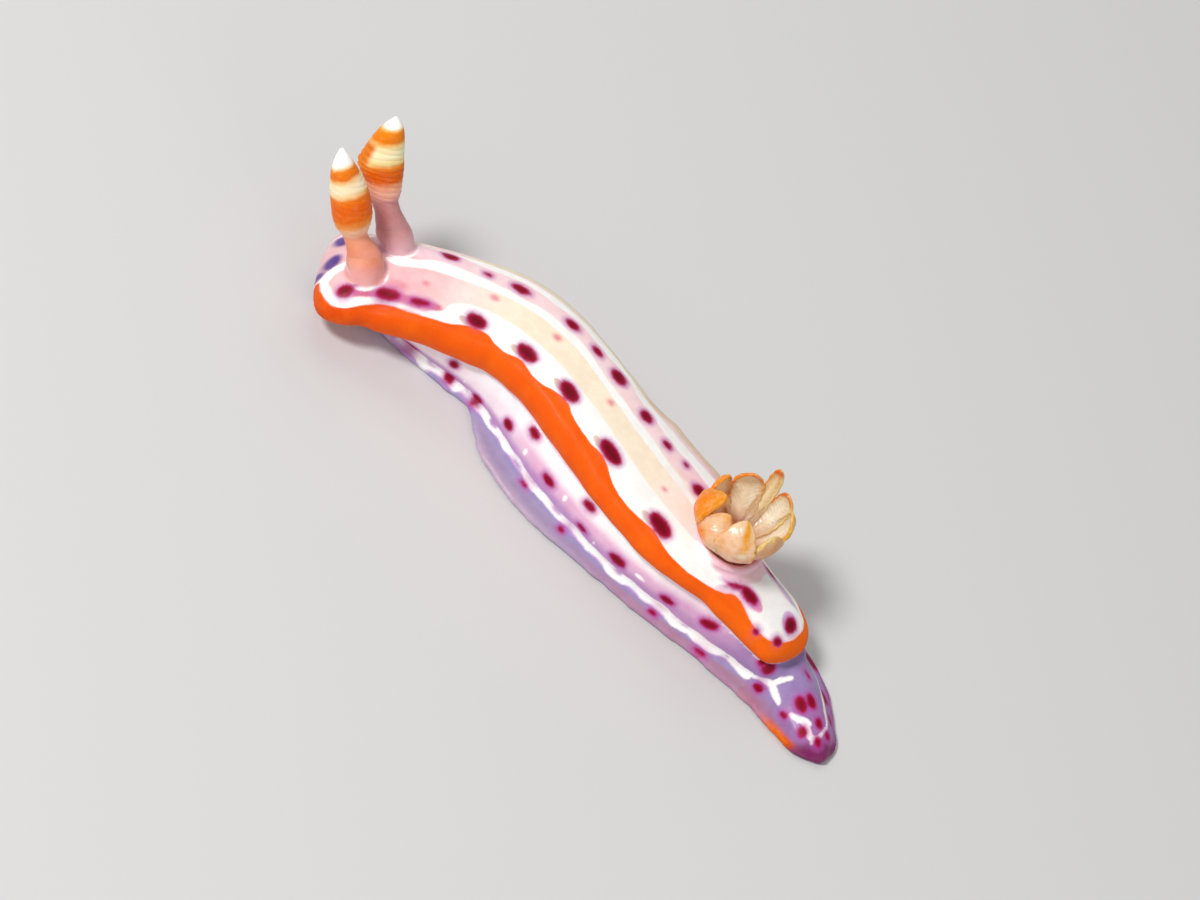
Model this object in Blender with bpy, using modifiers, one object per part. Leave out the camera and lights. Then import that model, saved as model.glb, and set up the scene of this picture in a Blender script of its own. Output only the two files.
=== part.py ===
"""Hypselodoris yarae, a small striped sea slug, as a still life-size model.

The slug crawls on a flat floor, head towards -X, tail towards +X, its left
side at -Y.  The body is built from lofted lengths: a mantle that overhangs
the sides, the sides of the body under it, a spreading foot and a tail.  Two
rhinophores stand on the head, two oral tentacles lie under the front of the
mantle and a ring of gill branches stands in a pocket near the rear.

Lengths in the tables are millimetres; MM turns them into metres.
A table is read along the crawl path: (distance from the front edge, value).
"""
import math

import bmesh
import bpy
import numpy as np
from mathutils import Matrix, Vector

MM = 0.001
GAP = 0.15                      # clearance between neighbouring pieces

# ---------------------------------------------------------------- the crawl
# the body's midline on the floor, front edge to tail tip, (x, y)
CRAWL_PATH = ((-13.35, -1.08), (-11.0, -0.30), (-8.5, 0.35), (-6.2, 1.02),
              (-3.8, 1.00), (-0.9, 0.12), (2.2, -0.62), (5.5, -1.05),
              (9.0, -1.42), (11.3, -1.70), (13.1, -2.70), (14.6, -3.95))
CENTRE = (-0.1794, -0.2793)     # middle of the whole model's box on the floor

# --------------------------------------------------------------- the mantle
MANTLE_LENGTH = 25.2
MANTLE_HALF_WIDTH = ((0, 2.50), (1.4, 2.58), (2.8, 2.24), (4.8, 2.10), (7.3, 2.23),
                     (10.3, 2.26), (12.8, 2.32), (15.3, 2.53), (17.8, 2.70),
                     (19.6, 2.46), (21.3, 1.86), (22.8, 1.73), (25.2, 1.60))
MANTLE_RIGHT_EXTRA = ((0, -0.45), (1.2, -0.36), (2.2, -0.04), (3.2, 0.36), (4.0, 0.48), (5.0, 0.54), (6.3, 0.50), (7.8, 0.60),
                      (9.2, 0.52), (10.5, 0.40), (12.0, 0.33), (13.4, 0.32), (14.3, 0.42), (15.0, 0.52), (16.5, 0.42),
                      (18.0, 0.36), (19.6, 0.24), (22.0, -0.03), (23.4, 0.02), (24.3, -0.06), (25.2, -0.22))        # the right half is wider in this bend
RIM_HEIGHT = ((0, 1.25), (2.3, 1.75), (3.3, 1.98), (4.8, 2.42), (6.3, 2.70), (8.8, 3.00),
              (12.3, 3.12), (14.8, 2.98), (17.3, 2.80), (20.3, 2.55), (22.3, 2.20), (25.2, 1.65))
RIM_HALF_THICKNESS = ((0, 0.50), (2.1, 0.50), (3.3, 0.70), (5.3, 0.76), (9.3, 0.78),
                      (12.8, 0.76), (15.3, 0.62), (17.8, 0.52), (20.3, 0.42), (22.3, 0.48), (25.2, 0.42))
RIM_ROUNDING = ((0, 0.24), (1.3, 0.36), (3.3, 0.44), (9.3, 0.50), (13.3, 0.50), (18.3, 0.42), (25.2, 0.36))
BACK_HEIGHT = ((0, 1.95), (1.8, 2.93), (3.0, 3.26), (4.8, 3.58), (6.8, 3.78), (8.7, 4.02),
               (10.8, 4.17), (12.8, 4.15), (14.8, 3.94), (16.8, 3.71), (18.7, 3.58),
               (20.6, 3.58), (22.3, 3.18), (24.0, 2.62), (25.2, 2.10))
FRONT_ROUNDING, REAR_ROUNDING = 1.3, 1.9     # length over which the outline closes
OUTLINE_POWER = 2.6                          # 2 is an ellipse, more is squarer
EDGE_ROLL = 0.6                              # length over which the edge rounds off
MANTLE_CUTS = (0.0, 6.2, 12.2, 18.0, MANTLE_LENGTH)

# ------------------------------------------------- sides, head, foot and tail
BODY_START, BODY_END = 2.8, 24.6
SIDE_TOP_HALF = ((2.8, 1.30), (5.3, 1.55), (8.3, 1.82), (12.8, 1.95), (16.3, 2.18),
                 (18.8, 2.12), (21.3, 1.55), (24.6, 1.22))
SIDE_FOOT_HALF = ((2.8, 0.65), (3.7, 0.80), (5.3, 1.28), (7.3, 1.75), (9.3, 2.08), (13.0, 2.46),
                  (16.0, 2.46), (18.8, 2.30), (21.3, 1.93), (24.6, 1.45), (26.8, 1.00),
                  (28.3, 0.65), (29.2, 0.25))
SIDE_BULGE = 0.12
FOOT_LEFT = ((2.8, 0.75), (3.7, 0.90), (5.4, 1.48), (6.7, 1.90), (8.4, 2.12), (9.7, 2.90),
             (11.9, 3.56), (13.7, 3.60), (15.6, 3.28), (17.4, 3.04), (19.4, 2.86), (20.9, 2.62),
             (22.3, 2.42), (24.6, 2.40), (26.3, 2.20), (27.8, 1.70), (28.7, 1.20), (29.2, 0.45))
FOOT_RIGHT = ((2.8, 0.75), (3.7, 1.00), (5.4, 1.50), (8.3, 2.10), (11.3, 2.65), (14.3, 2.85),
              (18.3, 2.70), (22.3, 2.32), (24.6, 2.10), (26.3, 1.75), (27.8, 1.30), (28.7, 0.95), (29.2, 0.40))
TAIL_HEIGHT = ((24.6, 1.08), (25.8, 1.15), (27.3, 0.95), (28.7, 0.60), (29.2, 0.38))
FOOT_THICKNESS = 0.62
FOOT_LIP = 0.27                              # height of the thin outer edge
FOOT_FRONT_ROUNDING = 1.2
HEAD_START, HEAD_END, HEAD_HALF_WIDTH, HEAD_CLEARANCE = 0.95, 2.65, 1.22, 0.12

# -------------------------------------------------------------- rhinophores
RHINO_SEAT = {"left": (1.52, -0.70), "right": (2.30, 1.30)}                 # station, offset
RHINO_LEAN = {"left": (31.3, 173.2), "right": (31.7, 172.2)}                # tilt, heading, degrees
RHINO_BROAD = (30.2, 25.9)                   # heading and rise of the club's broad way, degrees
# height along the lean, shift of the middle along the broad way, half width, half depth
RHINO_SHAPE = {
    "left": ((0.00, 0.00, 0.70, 0.70), (0.33, 0.00, 0.70, 0.70), (0.66, -0.01, 0.69, 0.67), (0.98, -0.08, 0.62, 0.60),
             (1.31, -0.21, 0.53, 0.53), (1.68, -0.34, 0.49, 0.49), (1.89, -0.38, 0.56, 0.55), (2.13, -0.41, 0.68, 0.66),
             (2.76, -0.42, 0.80, 0.77), (3.27, -0.45, 0.79, 0.77), (3.74, -0.51, 0.75, 0.73), (4.21, -0.57, 0.65, 0.64),
             (4.58, -0.63, 0.55, 0.55), (5.01, -0.67, 0.39, 0.39), (5.33, -0.69, 0.24, 0.24), (5.54, -0.70, 0.11, 0.11)),
    "right": ((0.00, 0.00, 0.70, 0.70), (0.33, -0.03, 0.70, 0.70), (0.75, -0.11, 0.66, 0.64), (1.17, -0.21, 0.59, 0.57),
              (1.59, -0.30, 0.52, 0.50), (2.01, -0.38, 0.53, 0.50), (2.33, -0.37, 0.63, 0.57), (3.08, -0.39, 0.76, 0.66),
              (3.83, -0.47, 0.91, 0.68), (4.43, -0.30, 0.77, 0.62), (5.08, -0.08, 0.57, 0.50), (5.41, 0.05, 0.39, 0.37),
              (5.61, 0.12, 0.22, 0.22), (5.72, 0.16, 0.10, 0.10)),
}
RHINO_SUNK = 0.30
RHINO_SLEEVE_RADIUS = 0.70 + GAP

# ----------------------------------------------------------- oral tentacles
TENTACLE_OFFSET, TENTACLE_HEIGHT = 0.74, 0.46
TENTACLE_LENGTH, TENTACLE_BASE, TENTACLE_TIP = 0.78, 0.28, 0.25
TENTACLE_SPREAD = 42.0

# -------------------------------------------------------------------- gills
GILL_STATION, GILL_OFFSET = 20.12, 0.22
GILL_SPINE = ((0.74, 0.0), (1.12, 0.75), (2.52, 0.62))   # radius and height of the first controls; the third rises with the leaf
# azimuth from the tail towards the right, half width, stem radius, tip radius, height, third control's radius
GILL_LEAVES = ((26, 0.46, 0.17, 1.66, 2.20, 2.30), (57, 0.37, 0.17, 1.70, 2.26, 2.35), (85, 0.24, 0.16, 1.78, 2.80, 2.55),
               (114, 0.56, 0.17, 1.48, 2.25, 2.32), (156, 0.55, 0.17, 1.35, 2.20, 2.22), (197, 0.55, 0.18, 1.48, 2.05, 2.32),
               (239, 0.60, 0.20, 1.30, 1.74, 2.12), (286, 0.82, 0.22, 1.00, 2.32, 2.82), (337, 0.72, 0.20, 1.45, 2.02, 2.20))
GILL_LEAF_HALF_THICKNESS = 0.20
GILL_LEAN = (9.0, 170.0)                     # tilt and heading of the whole ring, degrees
GILL_SHIFT = 0.09                            # of the ring's foot towards the tail
POCKET_RADIUS, POCKET_DEPTH = 1.55, 0.50
POCKET_WALL, POCKET_LIP = 0.14, 0.20


# ------------------------------------------------------------------ helpers
def table(pairs):
    """Monotone cubic curve through (station, value) pairs."""
    x = np.array([p[0] for p in pairs], float)
    y = np.array([p[1] for p in pairs], float)
    h = np.diff(x)
    d = np.diff(y) / h
    m = np.zeros_like(y)
    for i in range(1, len(x) - 1):
        if d[i - 1] * d[i] > 0:
            w1, w2 = 2 * h[i] + h[i - 1], h[i] + 2 * h[i - 1]
            m[i] = (w1 + w2) / (w1 / d[i - 1] + w2 / d[i])
    m[0], m[-1] = d[0], d[-1]

    def value(s):
        s = min(max(s, x[0]), x[-1])
        i = min(int(np.searchsorted(x, s, side="right")) - 1, len(h) - 1)
        t = (s - x[i]) / h[i]
        return float((2 * t**3 - 3 * t**2 + 1) * y[i] + (t**3 - 2 * t**2 + t) * h[i] * m[i]
                     + (3 * t**2 - 2 * t**3) * y[i + 1] + (t**3 - t**2) * h[i] * m[i + 1])
    return value


class Path:
    """Natural cubic spline over the floor, read by its own length."""

    def __init__(self, points):
        p = np.array(points, float)
        n = len(p)
        k = np.concatenate([[0], np.cumsum(np.hypot(*np.diff(p, axis=0).T))])
        h = np.diff(k)
        a = np.zeros((n, n))
        b = np.zeros((n, 2))
        a[0, 0] = a[-1, -1] = 1
        for i in range(1, n - 1):
            a[i, i - 1], a[i, i], a[i, i + 1] = h[i - 1], 2 * (h[i - 1] + h[i]), h[i]
            b[i] = 6 * ((p[i + 1] - p[i]) / h[i] - (p[i] - p[i - 1]) / h[i - 1])
        m = np.linalg.solve(a, b)
        u = np.linspace(0, k[-1], 3001)
        i = np.clip(np.searchsorted(k, u, side="right") - 1, 0, n - 2)
        t, hh = (u - k[i])[:, None], h[i][:, None]
        self.xy = (p[i] + t * ((p[i + 1] - p[i]) / hh - hh * (2 * m[i] + m[i + 1]) / 6)
                   + t**2 * m[i] / 2 + t**3 * (m[i + 1] - m[i]) / (6 * hh))
        self.s = np.concatenate([[0], np.cumsum(np.hypot(*np.diff(self.xy, axis=0).T))])
        self.length = float(self.s[-1])
        self.dir = np.gradient(self.xy, self.s, axis=0)

    def point(self, s, y, z):
        """World point at station s, y to the slug's right, z up, in mm."""
        px, py = (float(np.interp(s, self.s, self.xy[:, j])) for j in (0, 1))
        tx, ty = (float(np.interp(s, self.s, self.dir[:, j])) for j in (0, 1))
        n = math.hypot(tx, ty)
        tx, ty = tx / n, ty / n
        return Vector((px - ty * y - CENTRE[0], py + tx * y - CENTRE[1], z))

    def tangent(self, s):
        tx, ty = (float(np.interp(s, self.s, self.dir[:, j])) for j in (0, 1))
        return Vector((tx, ty, 0)).normalized()


path = Path(CRAWL_PATH)
TAIL_END = path.length
mantle_half = table(MANTLE_HALF_WIDTH)
mantle_extra = table(MANTLE_RIGHT_EXTRA)
rim_height = table(RIM_HEIGHT)
rim_thick = table(RIM_HALF_THICKNESS)
rim_round = table(RIM_ROUNDING)
back_height = table(BACK_HEIGHT)
side_top = table(SIDE_TOP_HALF)
side_foot = table(SIDE_FOOT_HALF)
foot_left = table(FOOT_LEFT)
foot_right = table(FOOT_RIGHT)
tail_height = table(TAIL_HEIGHT)


def closing(s):
    """0 along the mantle, rising to 1 at its front and rear edges."""
    a = min(max((FRONT_ROUNDING - s) / FRONT_ROUNDING, 0), 1)
    b = min(max((s - (MANTLE_LENGTH - REAR_ROUNDING)) / REAR_ROUNDING, 0), 1)
    return a**OUTLINE_POWER + b**OUTLINE_POWER


def edge_roll(s):
    t = min(max(min(s, MANTLE_LENGTH - s) / EDGE_ROLL, 0), 1)
    return math.sqrt(max(1 - (1 - t)**2, 0))


def mantle_dims(s):
    w = mantle_half(s) * max(1 - closing(s), 0)**(1 / OUTLINE_POWER)
    return w, min(rim_round(s), 0.5 * w), rim_thick(s) * edge_roll(s), rim_height(s)


def right_extra(s):
    return mantle_extra(s) * max(1 - closing(s), 0)**(1 / OUTLINE_POWER)


def back_z(s, q):
    """Height of the back at station s; q runs -1..1 across it."""
    w, a, b, zc = mantle_dims(s)
    d = (1 - closing(s)) * (1 - abs(q)**2.4)
    return zc + b + (back_height(s) - zc - rim_thick(s)) * (1 - (1 - d)**1.6)


def mantle_section(s, across=9, round_steps=5):
    w, a, b, zc = mantle_dims(s)
    flat = w - a
    right = flat + right_extra(s)
    ring = [((right if q > 0 else flat) * q, back_z(s, q)) for q in np.linspace(-1, 1, across)]
    for i in range(1, round_steps + 1):
        t = math.pi * (0.5 - i / round_steps)
        ring.append((right + a * math.cos(t), zc + b * math.sin(t)))
    ring.append((0.0, zc - b))
    for i in range(round_steps):
        t = math.pi * (-0.5 + i / round_steps)
        ring.append((-flat - a * math.cos(t), zc + b * math.sin(t)))
    return ring


def side_section(s, steps=5):
    """The flank between the mantle's underside and the foot."""
    zt = rim_height(s) - rim_thick(s) - GAP
    zb = FOOT_THICKNESS + GAP
    wt, wb = side_top(s), side_foot(s)
    half = []
    for i in range(steps + 1):
        v = i / steps
        half.append((wt * (1 - v) + wb * v + SIDE_BULGE * math.sin(math.pi * v), zt * (1 - v) + zb * v))
    return [(y, z) for y, z in half] + [(-y, z) for y, z in reversed(half)]


def foot_section(s):
    k = 1.0
    if s < BODY_START + FOOT_FRONT_ROUNDING:
        t = (BODY_START + FOOT_FRONT_ROUNDING - s) / FOOT_FRONT_ROUNDING
        k = math.sqrt(max(1 - t * t, 0.0))
    wl, wr, wj = foot_left(s) * k, foot_right(s) * k, side_foot(s) * k
    ring = [(-(wl - 0.12 * k), 0), (0, 0), (wr - 0.12 * k, 0), (wr, 0.13), (wr - 0.06 * k, FOOT_LIP)]
    jr, jl = min(wj, wr - 0.10 * k), min(wj, wl - 0.10 * k)
    ring += [(wr * 0.45 + jr * 0.55, FOOT_LIP + 0.10), (jr, FOOT_THICKNESS - 0.06), (jr - 0.12 * k, FOOT_THICKNESS),
             (0, FOOT_THICKNESS), (-(jl - 0.12 * k), FOOT_THICKNESS), (-jl, FOOT_THICKNESS - 0.06),
             (-(wl * 0.45 + jl * 0.55), FOOT_LIP + 0.10), (-(wl - 0.06 * k), FOOT_LIP), (-wl, 0.13)]
    return ring


def tail_section(s):
    wl, wr, wj, h = foot_left(s), foot_right(s), side_foot(s), tail_height(s)
    lip = min(FOOT_LIP, 0.7 * h)
    shoulder = min(FOOT_THICKNESS, 0.80 * h)
    ring = [(-(wl - 0.12), 0), (0, 0), (wr - 0.12, 0), (wr, 0.5 * lip), (wr - 0.06, lip),
            (wr * 0.45 + wj * 0.55, lip + 0.3 * (shoulder - lip)), (wj, shoulder), (0.72 * wj, 0.5 * (shoulder + h)),
            (0.38 * wj, 0.93 * h + 0.07 * shoulder), (0, h)]
    left = [(-(wl * 0.45 + wj * 0.55), lip + 0.3 * (shoulder - lip)), (-(wl - 0.06), lip), (-wl, 0.5 * lip)]
    return ring + [(-0.38 * wj, 0.93 * h + 0.07 * shoulder), (-0.72 * wj, 0.5 * (shoulder + h)), (-wj, shoulder)] + left


def head_section(s, steps=7):
    """The muzzle under the front of the mantle."""
    t = min(max((HEAD_START + 1.0 - s) / 1.0, 0), 1)
    k = math.sqrt(max(1 - t * t, 0.0))
    top = rim_height(s) - rim_thick(s) - GAP
    mid, half = 0.5 * (top + HEAD_CLEARANCE), 0.5 * (top - HEAD_CLEARANCE)
    ring = []
    for i in range(2 * steps):
        a = math.pi * i / steps
        c, z = math.cos(a), math.sin(a)
        ring.append((HEAD_HALF_WIDTH * k * math.copysign(abs(c)**0.7, c), mid + half * k * math.copysign(abs(z)**0.7, z)))
    return ring


# ---------------------------------------------------------- scene structure
for old in list(bpy.data.objects):
    bpy.data.objects.remove(old, do_unlink=True)

scene = bpy.context.scene
slug = bpy.data.collections.new("hypselodoris_yarae")
cutters = bpy.data.collections.new("pocket_cutters")
scene.collection.children.link(slug)
scene.collection.children.link(cutters)
root = bpy.data.objects.new("hypselodoris_yarae_root", None)
slug.objects.link(root)


def flesh(name, colour, roughness=0.3):
    m = bpy.data.materials.new(name)
    m.use_nodes = True
    p = m.node_tree.nodes["Principled BSDF"]
    p.inputs["Base Color"].default_value = (*colour, 1)
    p.inputs["Roughness"].default_value = roughness
    p.inputs["Metallic"].default_value = 0.0
    return m


mat_mantle = flesh("mantle_flesh", (0.90, 0.62, 0.45))
mat_side = flesh("side_flesh", (0.62, 0.42, 0.66))
mat_foot = flesh("foot_flesh", (0.55, 0.42, 0.62))
mat_tail = flesh("tail_flesh", (0.55, 0.30, 0.50))
mat_head = flesh("head_flesh", (0.80, 0.50, 0.52))
mat_rhino = flesh("rhinophore_flesh", (0.82, 0.33, 0.04), 0.35)
mat_gill = flesh("gill_flesh", (0.85, 0.45, 0.15), 0.3)
mat_pocket = flesh("gill_pocket_flesh", (0.85, 0.55, 0.60))


def place(name, mesh, origin, material, collection=slug):
    """A mesh made in world millimetres becomes an object with its own origin."""
    mesh.transform(Matrix.Scale(MM, 4) @ Matrix.Translation(-origin))
    ob = bpy.data.objects.new(name, mesh)
    ob.location = origin * MM
    ob.parent = root
    if material:
        mesh.materials.append(material)
    collection.objects.link(ob)
    return ob


def loft(name, rings, origin, material):
    """Closed loft through rings of equal count, with flat end caps."""
    bm = bmesh.new()
    rows = [[bm.verts.new(p) for p in ring] for ring in rings]
    n = len(rows[0])
    for lo, hi in zip(rows, rows[1:]):
        for i in range(n):
            bm.faces.new((lo[i], lo[(i + 1) % n], hi[(i + 1) % n], hi[i]))
    bm.faces.new(list(reversed(rows[0])))
    bm.faces.new(rows[-1])
    bmesh.ops.recalc_face_normals(bm, faces=bm.faces)
    mesh = bpy.data.meshes.new(name)
    bm.to_mesh(mesh)
    bm.free()
    mesh.shade_smooth()
    mesh.set_sharp_from_angle(angle=math.radians(40))
    return place(name, mesh, origin, material)


def length_loft(name, section, start, stop, pitch, material, ease_front=False, ease_rear=False):
    """Loft a section function between two stations, finer at a rounded end."""
    count = max(2, round((stop - start) / pitch))
    stations = []
    for i in range(count + 1):
        t = i / count
        stations.append(start + (stop - start) * t)
    if ease_front:
        extra = [start + EDGE_ROLL * f for f in (0.02, 0.10, 0.28, 0.60, 1.05, 1.60)]
        stations = extra + [s for s in stations if s > extra[-1] + 0.3 * pitch]
    if ease_rear:
        extra = [stop - EDGE_ROLL * f for f in (0.02, 0.10, 0.28, 0.60, 1.05, 1.60)]
        stations = [s for s in stations if s < extra[-1] - 0.3 * pitch] + extra[::-1]
    rings = [[path.point(s, y, z) for y, z in section(s)] for s in stations]
    mid = 0.5 * (start + stop)
    return loft(name, rings, path.point(mid, 0, 0), material)


def turned(name, profile, frame, material, steps=16, collection=slug):
    """A profile of (height, radius) in mm turned about its own Z axis."""
    mesh = bpy.data.meshes.new(name)
    pts = [(r * MM, 0, h * MM) for h, r in reversed(profile)]
    mesh.from_pydata(pts, [(i, i + 1) for i in range(len(pts) - 1)], [])
    ob = bpy.data.objects.new(name, mesh)
    loc, rot, _ = frame.decompose()
    ob.location, ob.rotation_euler = loc * MM, rot.to_euler()
    ob.parent = root
    screw = ob.modifiers.new("turn", "SCREW")
    screw.axis, screw.angle = "Z", 2 * math.pi
    screw.steps = screw.render_steps = steps
    screw.use_merge_vertices, screw.merge_threshold = True, 1e-6
    screw.use_normal_calculate = False
    screw.use_smooth_shade = True
    if material:
        mesh.materials.append(material)
    collection.objects.link(ob)
    return ob


def lean_frame(base, tilt, heading):
    """Frame at base whose Z axis leans by tilt degrees towards a heading."""
    t, h = math.radians(tilt), math.radians(heading)
    axis = Vector((math.sin(t) * math.cos(h), math.sin(t) * math.sin(h), math.cos(t)))
    return Matrix.Translation(base) @ axis.to_track_quat("Z", "Y").to_matrix().to_4x4(), axis


def broad_way(axis):
    """The broad way of a rhinophore's club, square to its axis."""
    h, e = math.radians(RHINO_BROAD[0]), math.radians(RHINO_BROAD[1])
    v = Vector((math.cos(e) * math.cos(h), math.cos(e) * math.sin(h), math.sin(e)))
    return (v - axis * v.dot(axis)).normalized()


def cut(target, cutter):
    mod = target.modifiers.new("pocket", "BOOLEAN")
    mod.operation, mod.object, mod.solver = "DIFFERENCE", cutter, "EXACT"
    cutter.hide_render = True
    cutter.display_type = "WIRE"


# ------------------------------------------------------------------- mantle
lengths = []
names = ("mantle_front", "mantle_shoulder", "mantle_middle", "mantle_rear")
for i, name in enumerate(names):
    a = MANTLE_CUTS[i] + (GAP / 2 if i else 0)
    b = MANTLE_CUTS[i + 1] - (GAP / 2 if i < 3 else 0)
    lengths.append(length_loft(name, mantle_section, a, b, 0.75, mat_mantle, i == 0, i == 3))

# -------------------------------------------------------- sides of the body
span = (BODY_END - BODY_START) / 3
for i, where in enumerate(("front", "middle", "rear")):
    a = BODY_START + span * i + (GAP / 2 if i else 0)
    b = BODY_START + span * (i + 1) - (GAP / 2 if i < 2 else GAP)
    length_loft("side_" + where, side_section, a, b, 0.95, mat_side)
    length_loft("foot_" + where, foot_section, a, b, 0.85, mat_foot, i == 0)

length_loft("tail", tail_section, BODY_END, TAIL_END - 0.04, 0.5, mat_tail)

head_stations = [HEAD_START + d for d in (0.02, 0.12, 0.35, 0.7, 1.15)] + [HEAD_END]
loft("head", [[path.point(s, y, z) for y, z in head_section(s)] for s in head_stations],
     path.point(1.7, 0, 0.6), mat_head)

# -------------------------------------------------------------- rhinophores
for side in ("left", "right"):
    station, offset = RHINO_SEAT[side]
    w, a, b, zc = mantle_dims(station)
    surface = path.point(station, offset, back_z(station, offset / (w - a)))
    tilt, heading = RHINO_LEAN[side]
    frame, axis = lean_frame(surface, tilt, heading)
    foot_frame = Matrix.Translation(-RHINO_SUNK * axis) @ frame
    broad = broad_way(axis)
    deep = axis.cross(broad)
    rings = []
    for h, shift, half, depth in ((-RHINO_SUNK, 0.0, 0.70, 0.70),) + RHINO_SHAPE[side]:
        middle = surface + axis * h + broad * shift
        rings.append([middle + broad * (half * math.cos(2 * math.pi * j / 14)) + deep * (depth * math.sin(2 * math.pi * j / 14))
                      for j in range(14)])
    loft("rhinophore_" + side, rings, surface, mat_rhino)
    sleeve = [(-GAP, 0.0), (-GAP, RHINO_SLEEVE_RADIUS), (1.6, RHINO_SLEEVE_RADIUS), (1.6, 0.0)]
    cut(lengths[0], turned("sleeve_" + side, sleeve, foot_frame, None, steps=16, collection=cutters))

# ----------------------------------------------------------- oral tentacles
for side, sign in (("left", -1), ("right", 1)):
    k = TENTACLE_OFFSET / HEAD_HALF_WIDTH
    s0 = HEAD_START + 1.0 - math.sqrt(1 - k * k) - 0.30
    base = path.point(s0, sign * TENTACLE_OFFSET, TENTACLE_HEIGHT)
    t = path.tangent(s0)
    heading = math.degrees(math.atan2(-t.y, -t.x)) - sign * TENTACLE_SPREAD
    frame, axis = lean_frame(base, 96.0, heading)
    r0, r1, n = TENTACLE_BASE, TENTACLE_TIP, 4
    profile = [(0.0, 0.0), (0.0, r0), (TENTACLE_LENGTH - r1, r1)]
    for i in range(1, n + 1):
        t = 0.5 * math.pi * i / n
        profile.append((TENTACLE_LENGTH - r1 + r1 * math.sin(t), r1 * math.cos(t) if i < n else 0.0))
    turned("oral_tentacle_" + side, profile, frame, mat_head, steps=12)

# -------------------------------------------------- gill pocket and branches
crown = path.point(GILL_STATION, GILL_OFFSET, back_z(GILL_STATION, 0.1))
pocket_frame, _ = lean_frame(crown, 4.0, 0.0)
socket = [(-POCKET_DEPTH, 0.0), (-POCKET_DEPTH, POCKET_RADIUS), (2.0, POCKET_RADIUS), (2.0, 0.0)]
cut(lengths[3], turned("gill_socket", socket, pocket_frame, None, steps=20, collection=cutters))
ro = POCKET_RADIUS - GAP
ri = ro - POCKET_WALL
floor = -POCKET_DEPTH + GAP + 0.25
collar = [(-POCKET_DEPTH + GAP, 0.0), (-POCKET_DEPTH + GAP, ro), (POCKET_LIP - 0.12, ro), (POCKET_LIP, ro - 0.5 * POCKET_WALL),
          (POCKET_LIP - 0.12, ri), (floor, ri - 0.02), (floor, 0.0)]
turned("gill_pocket", collar, pocket_frame, mat_pocket, steps=20)

_, gill_axis = lean_frame(Vector((0, 0, 0)), *GILL_LEAN)
gill_frame = Vector((0, 0, 1)).rotation_difference(gill_axis).to_matrix()


def bezier(p, t):
    u = 1 - t
    return (p[0] * u**3 + p[1] * 3 * u * u * t + p[2] * 3 * u * t * t + p[3] * t**3)


def leaf_half_width(t, half, stem):
    """Narrow stem, broad leaf, rounded tip."""
    grow = min(max((t - 0.10) / 0.45, 0), 1)
    grow = grow * grow * (3 - 2 * grow)
    tip = math.sqrt(max(1 - max((t - 0.58) / 0.42, 0)**2.4, 0.0))
    return (stem + (half - stem) * grow) * tip


base_z = floor + GAP + 0.15
for k, (turn, half, stem, tip_radius, height, swell) in enumerate(GILL_LEAVES):
    azimuth = math.radians(turn)
    out = Vector((math.cos(azimuth), math.sin(azimuth), 0))
    side = Vector((-out.y, out.x, 0))
    up = Vector((0, 0, 1))
    (r0, z0), (r1, z1), (_, share) = GILL_SPINE
    ctrl = (out * r0 + up * z0, out * r1 + up * z1, out * swell + up * share * height, out * tip_radius + up * height)
    rings = []
    stations = [0, 0.10, 0.22, 0.36, 0.50, 0.64, 0.77, 0.88, 0.95, 0.99]
    for t in stations:
        c = bezier(ctrl, t)
        d = (bezier(ctrl, min(t + 0.01, 1)) - bezier(ctrl, max(t - 0.01, 0))).normalized()
        nrm = side.cross(d).normalized()
        hw = leaf_half_width(t, half, stem)
        ht = min(GILL_LEAF_HALF_THICKNESS * (0.65 + 0.35 * min(t / 0.4, 1)), hw)
        if t > 0.9:
            ht *= math.sqrt(max(1 - ((t - 0.9) / 0.1)**2, 0.05))
        if t == 0:
            nrm = out
        ring = []
        for j in range(10):
            a = 2 * math.pi * j / 10
            p = c + side * hw * math.cos(a) + nrm * ht * math.sin(a)
            ring.append(crown + gill_frame @ p + Vector((GILL_SHIFT, 0, base_z)))
        rings.append(ring)
    loft("gill_%02d" % (k + 1), rings, crown + Vector((0, 0, 0.5)), mat_gill)
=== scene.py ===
import bpy
import math
import numpy as np
from mathutils import Matrix, Vector


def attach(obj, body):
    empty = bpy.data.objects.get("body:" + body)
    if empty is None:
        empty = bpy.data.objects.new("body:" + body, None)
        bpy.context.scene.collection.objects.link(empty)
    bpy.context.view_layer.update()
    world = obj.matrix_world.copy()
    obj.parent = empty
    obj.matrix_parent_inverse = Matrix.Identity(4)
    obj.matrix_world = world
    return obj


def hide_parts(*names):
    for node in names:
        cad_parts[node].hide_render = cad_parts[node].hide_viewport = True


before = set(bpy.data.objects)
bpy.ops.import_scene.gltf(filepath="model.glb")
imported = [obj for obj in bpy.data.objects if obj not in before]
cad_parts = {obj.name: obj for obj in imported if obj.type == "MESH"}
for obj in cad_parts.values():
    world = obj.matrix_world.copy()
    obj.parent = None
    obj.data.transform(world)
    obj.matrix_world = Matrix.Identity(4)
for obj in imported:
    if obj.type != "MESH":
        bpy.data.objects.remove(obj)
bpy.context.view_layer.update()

# ------------------------------------------------------------------ the frame
# Lengths are millimetres in the slug's own frame; MM turns them into metres.
MM = 0.001
CRAWL_PATH = ((-13.35, -1.08), (-11.0, -0.30), (-8.5, 0.35), (-6.2, 1.02),
              (-3.8, 1.00), (-0.9, 0.12), (2.2, -0.62), (5.5, -1.05),
              (9.0, -1.42), (11.3, -1.70), (13.1, -2.70), (14.6, -3.95))
CENTRE = (-0.1794, -0.2793)

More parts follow.
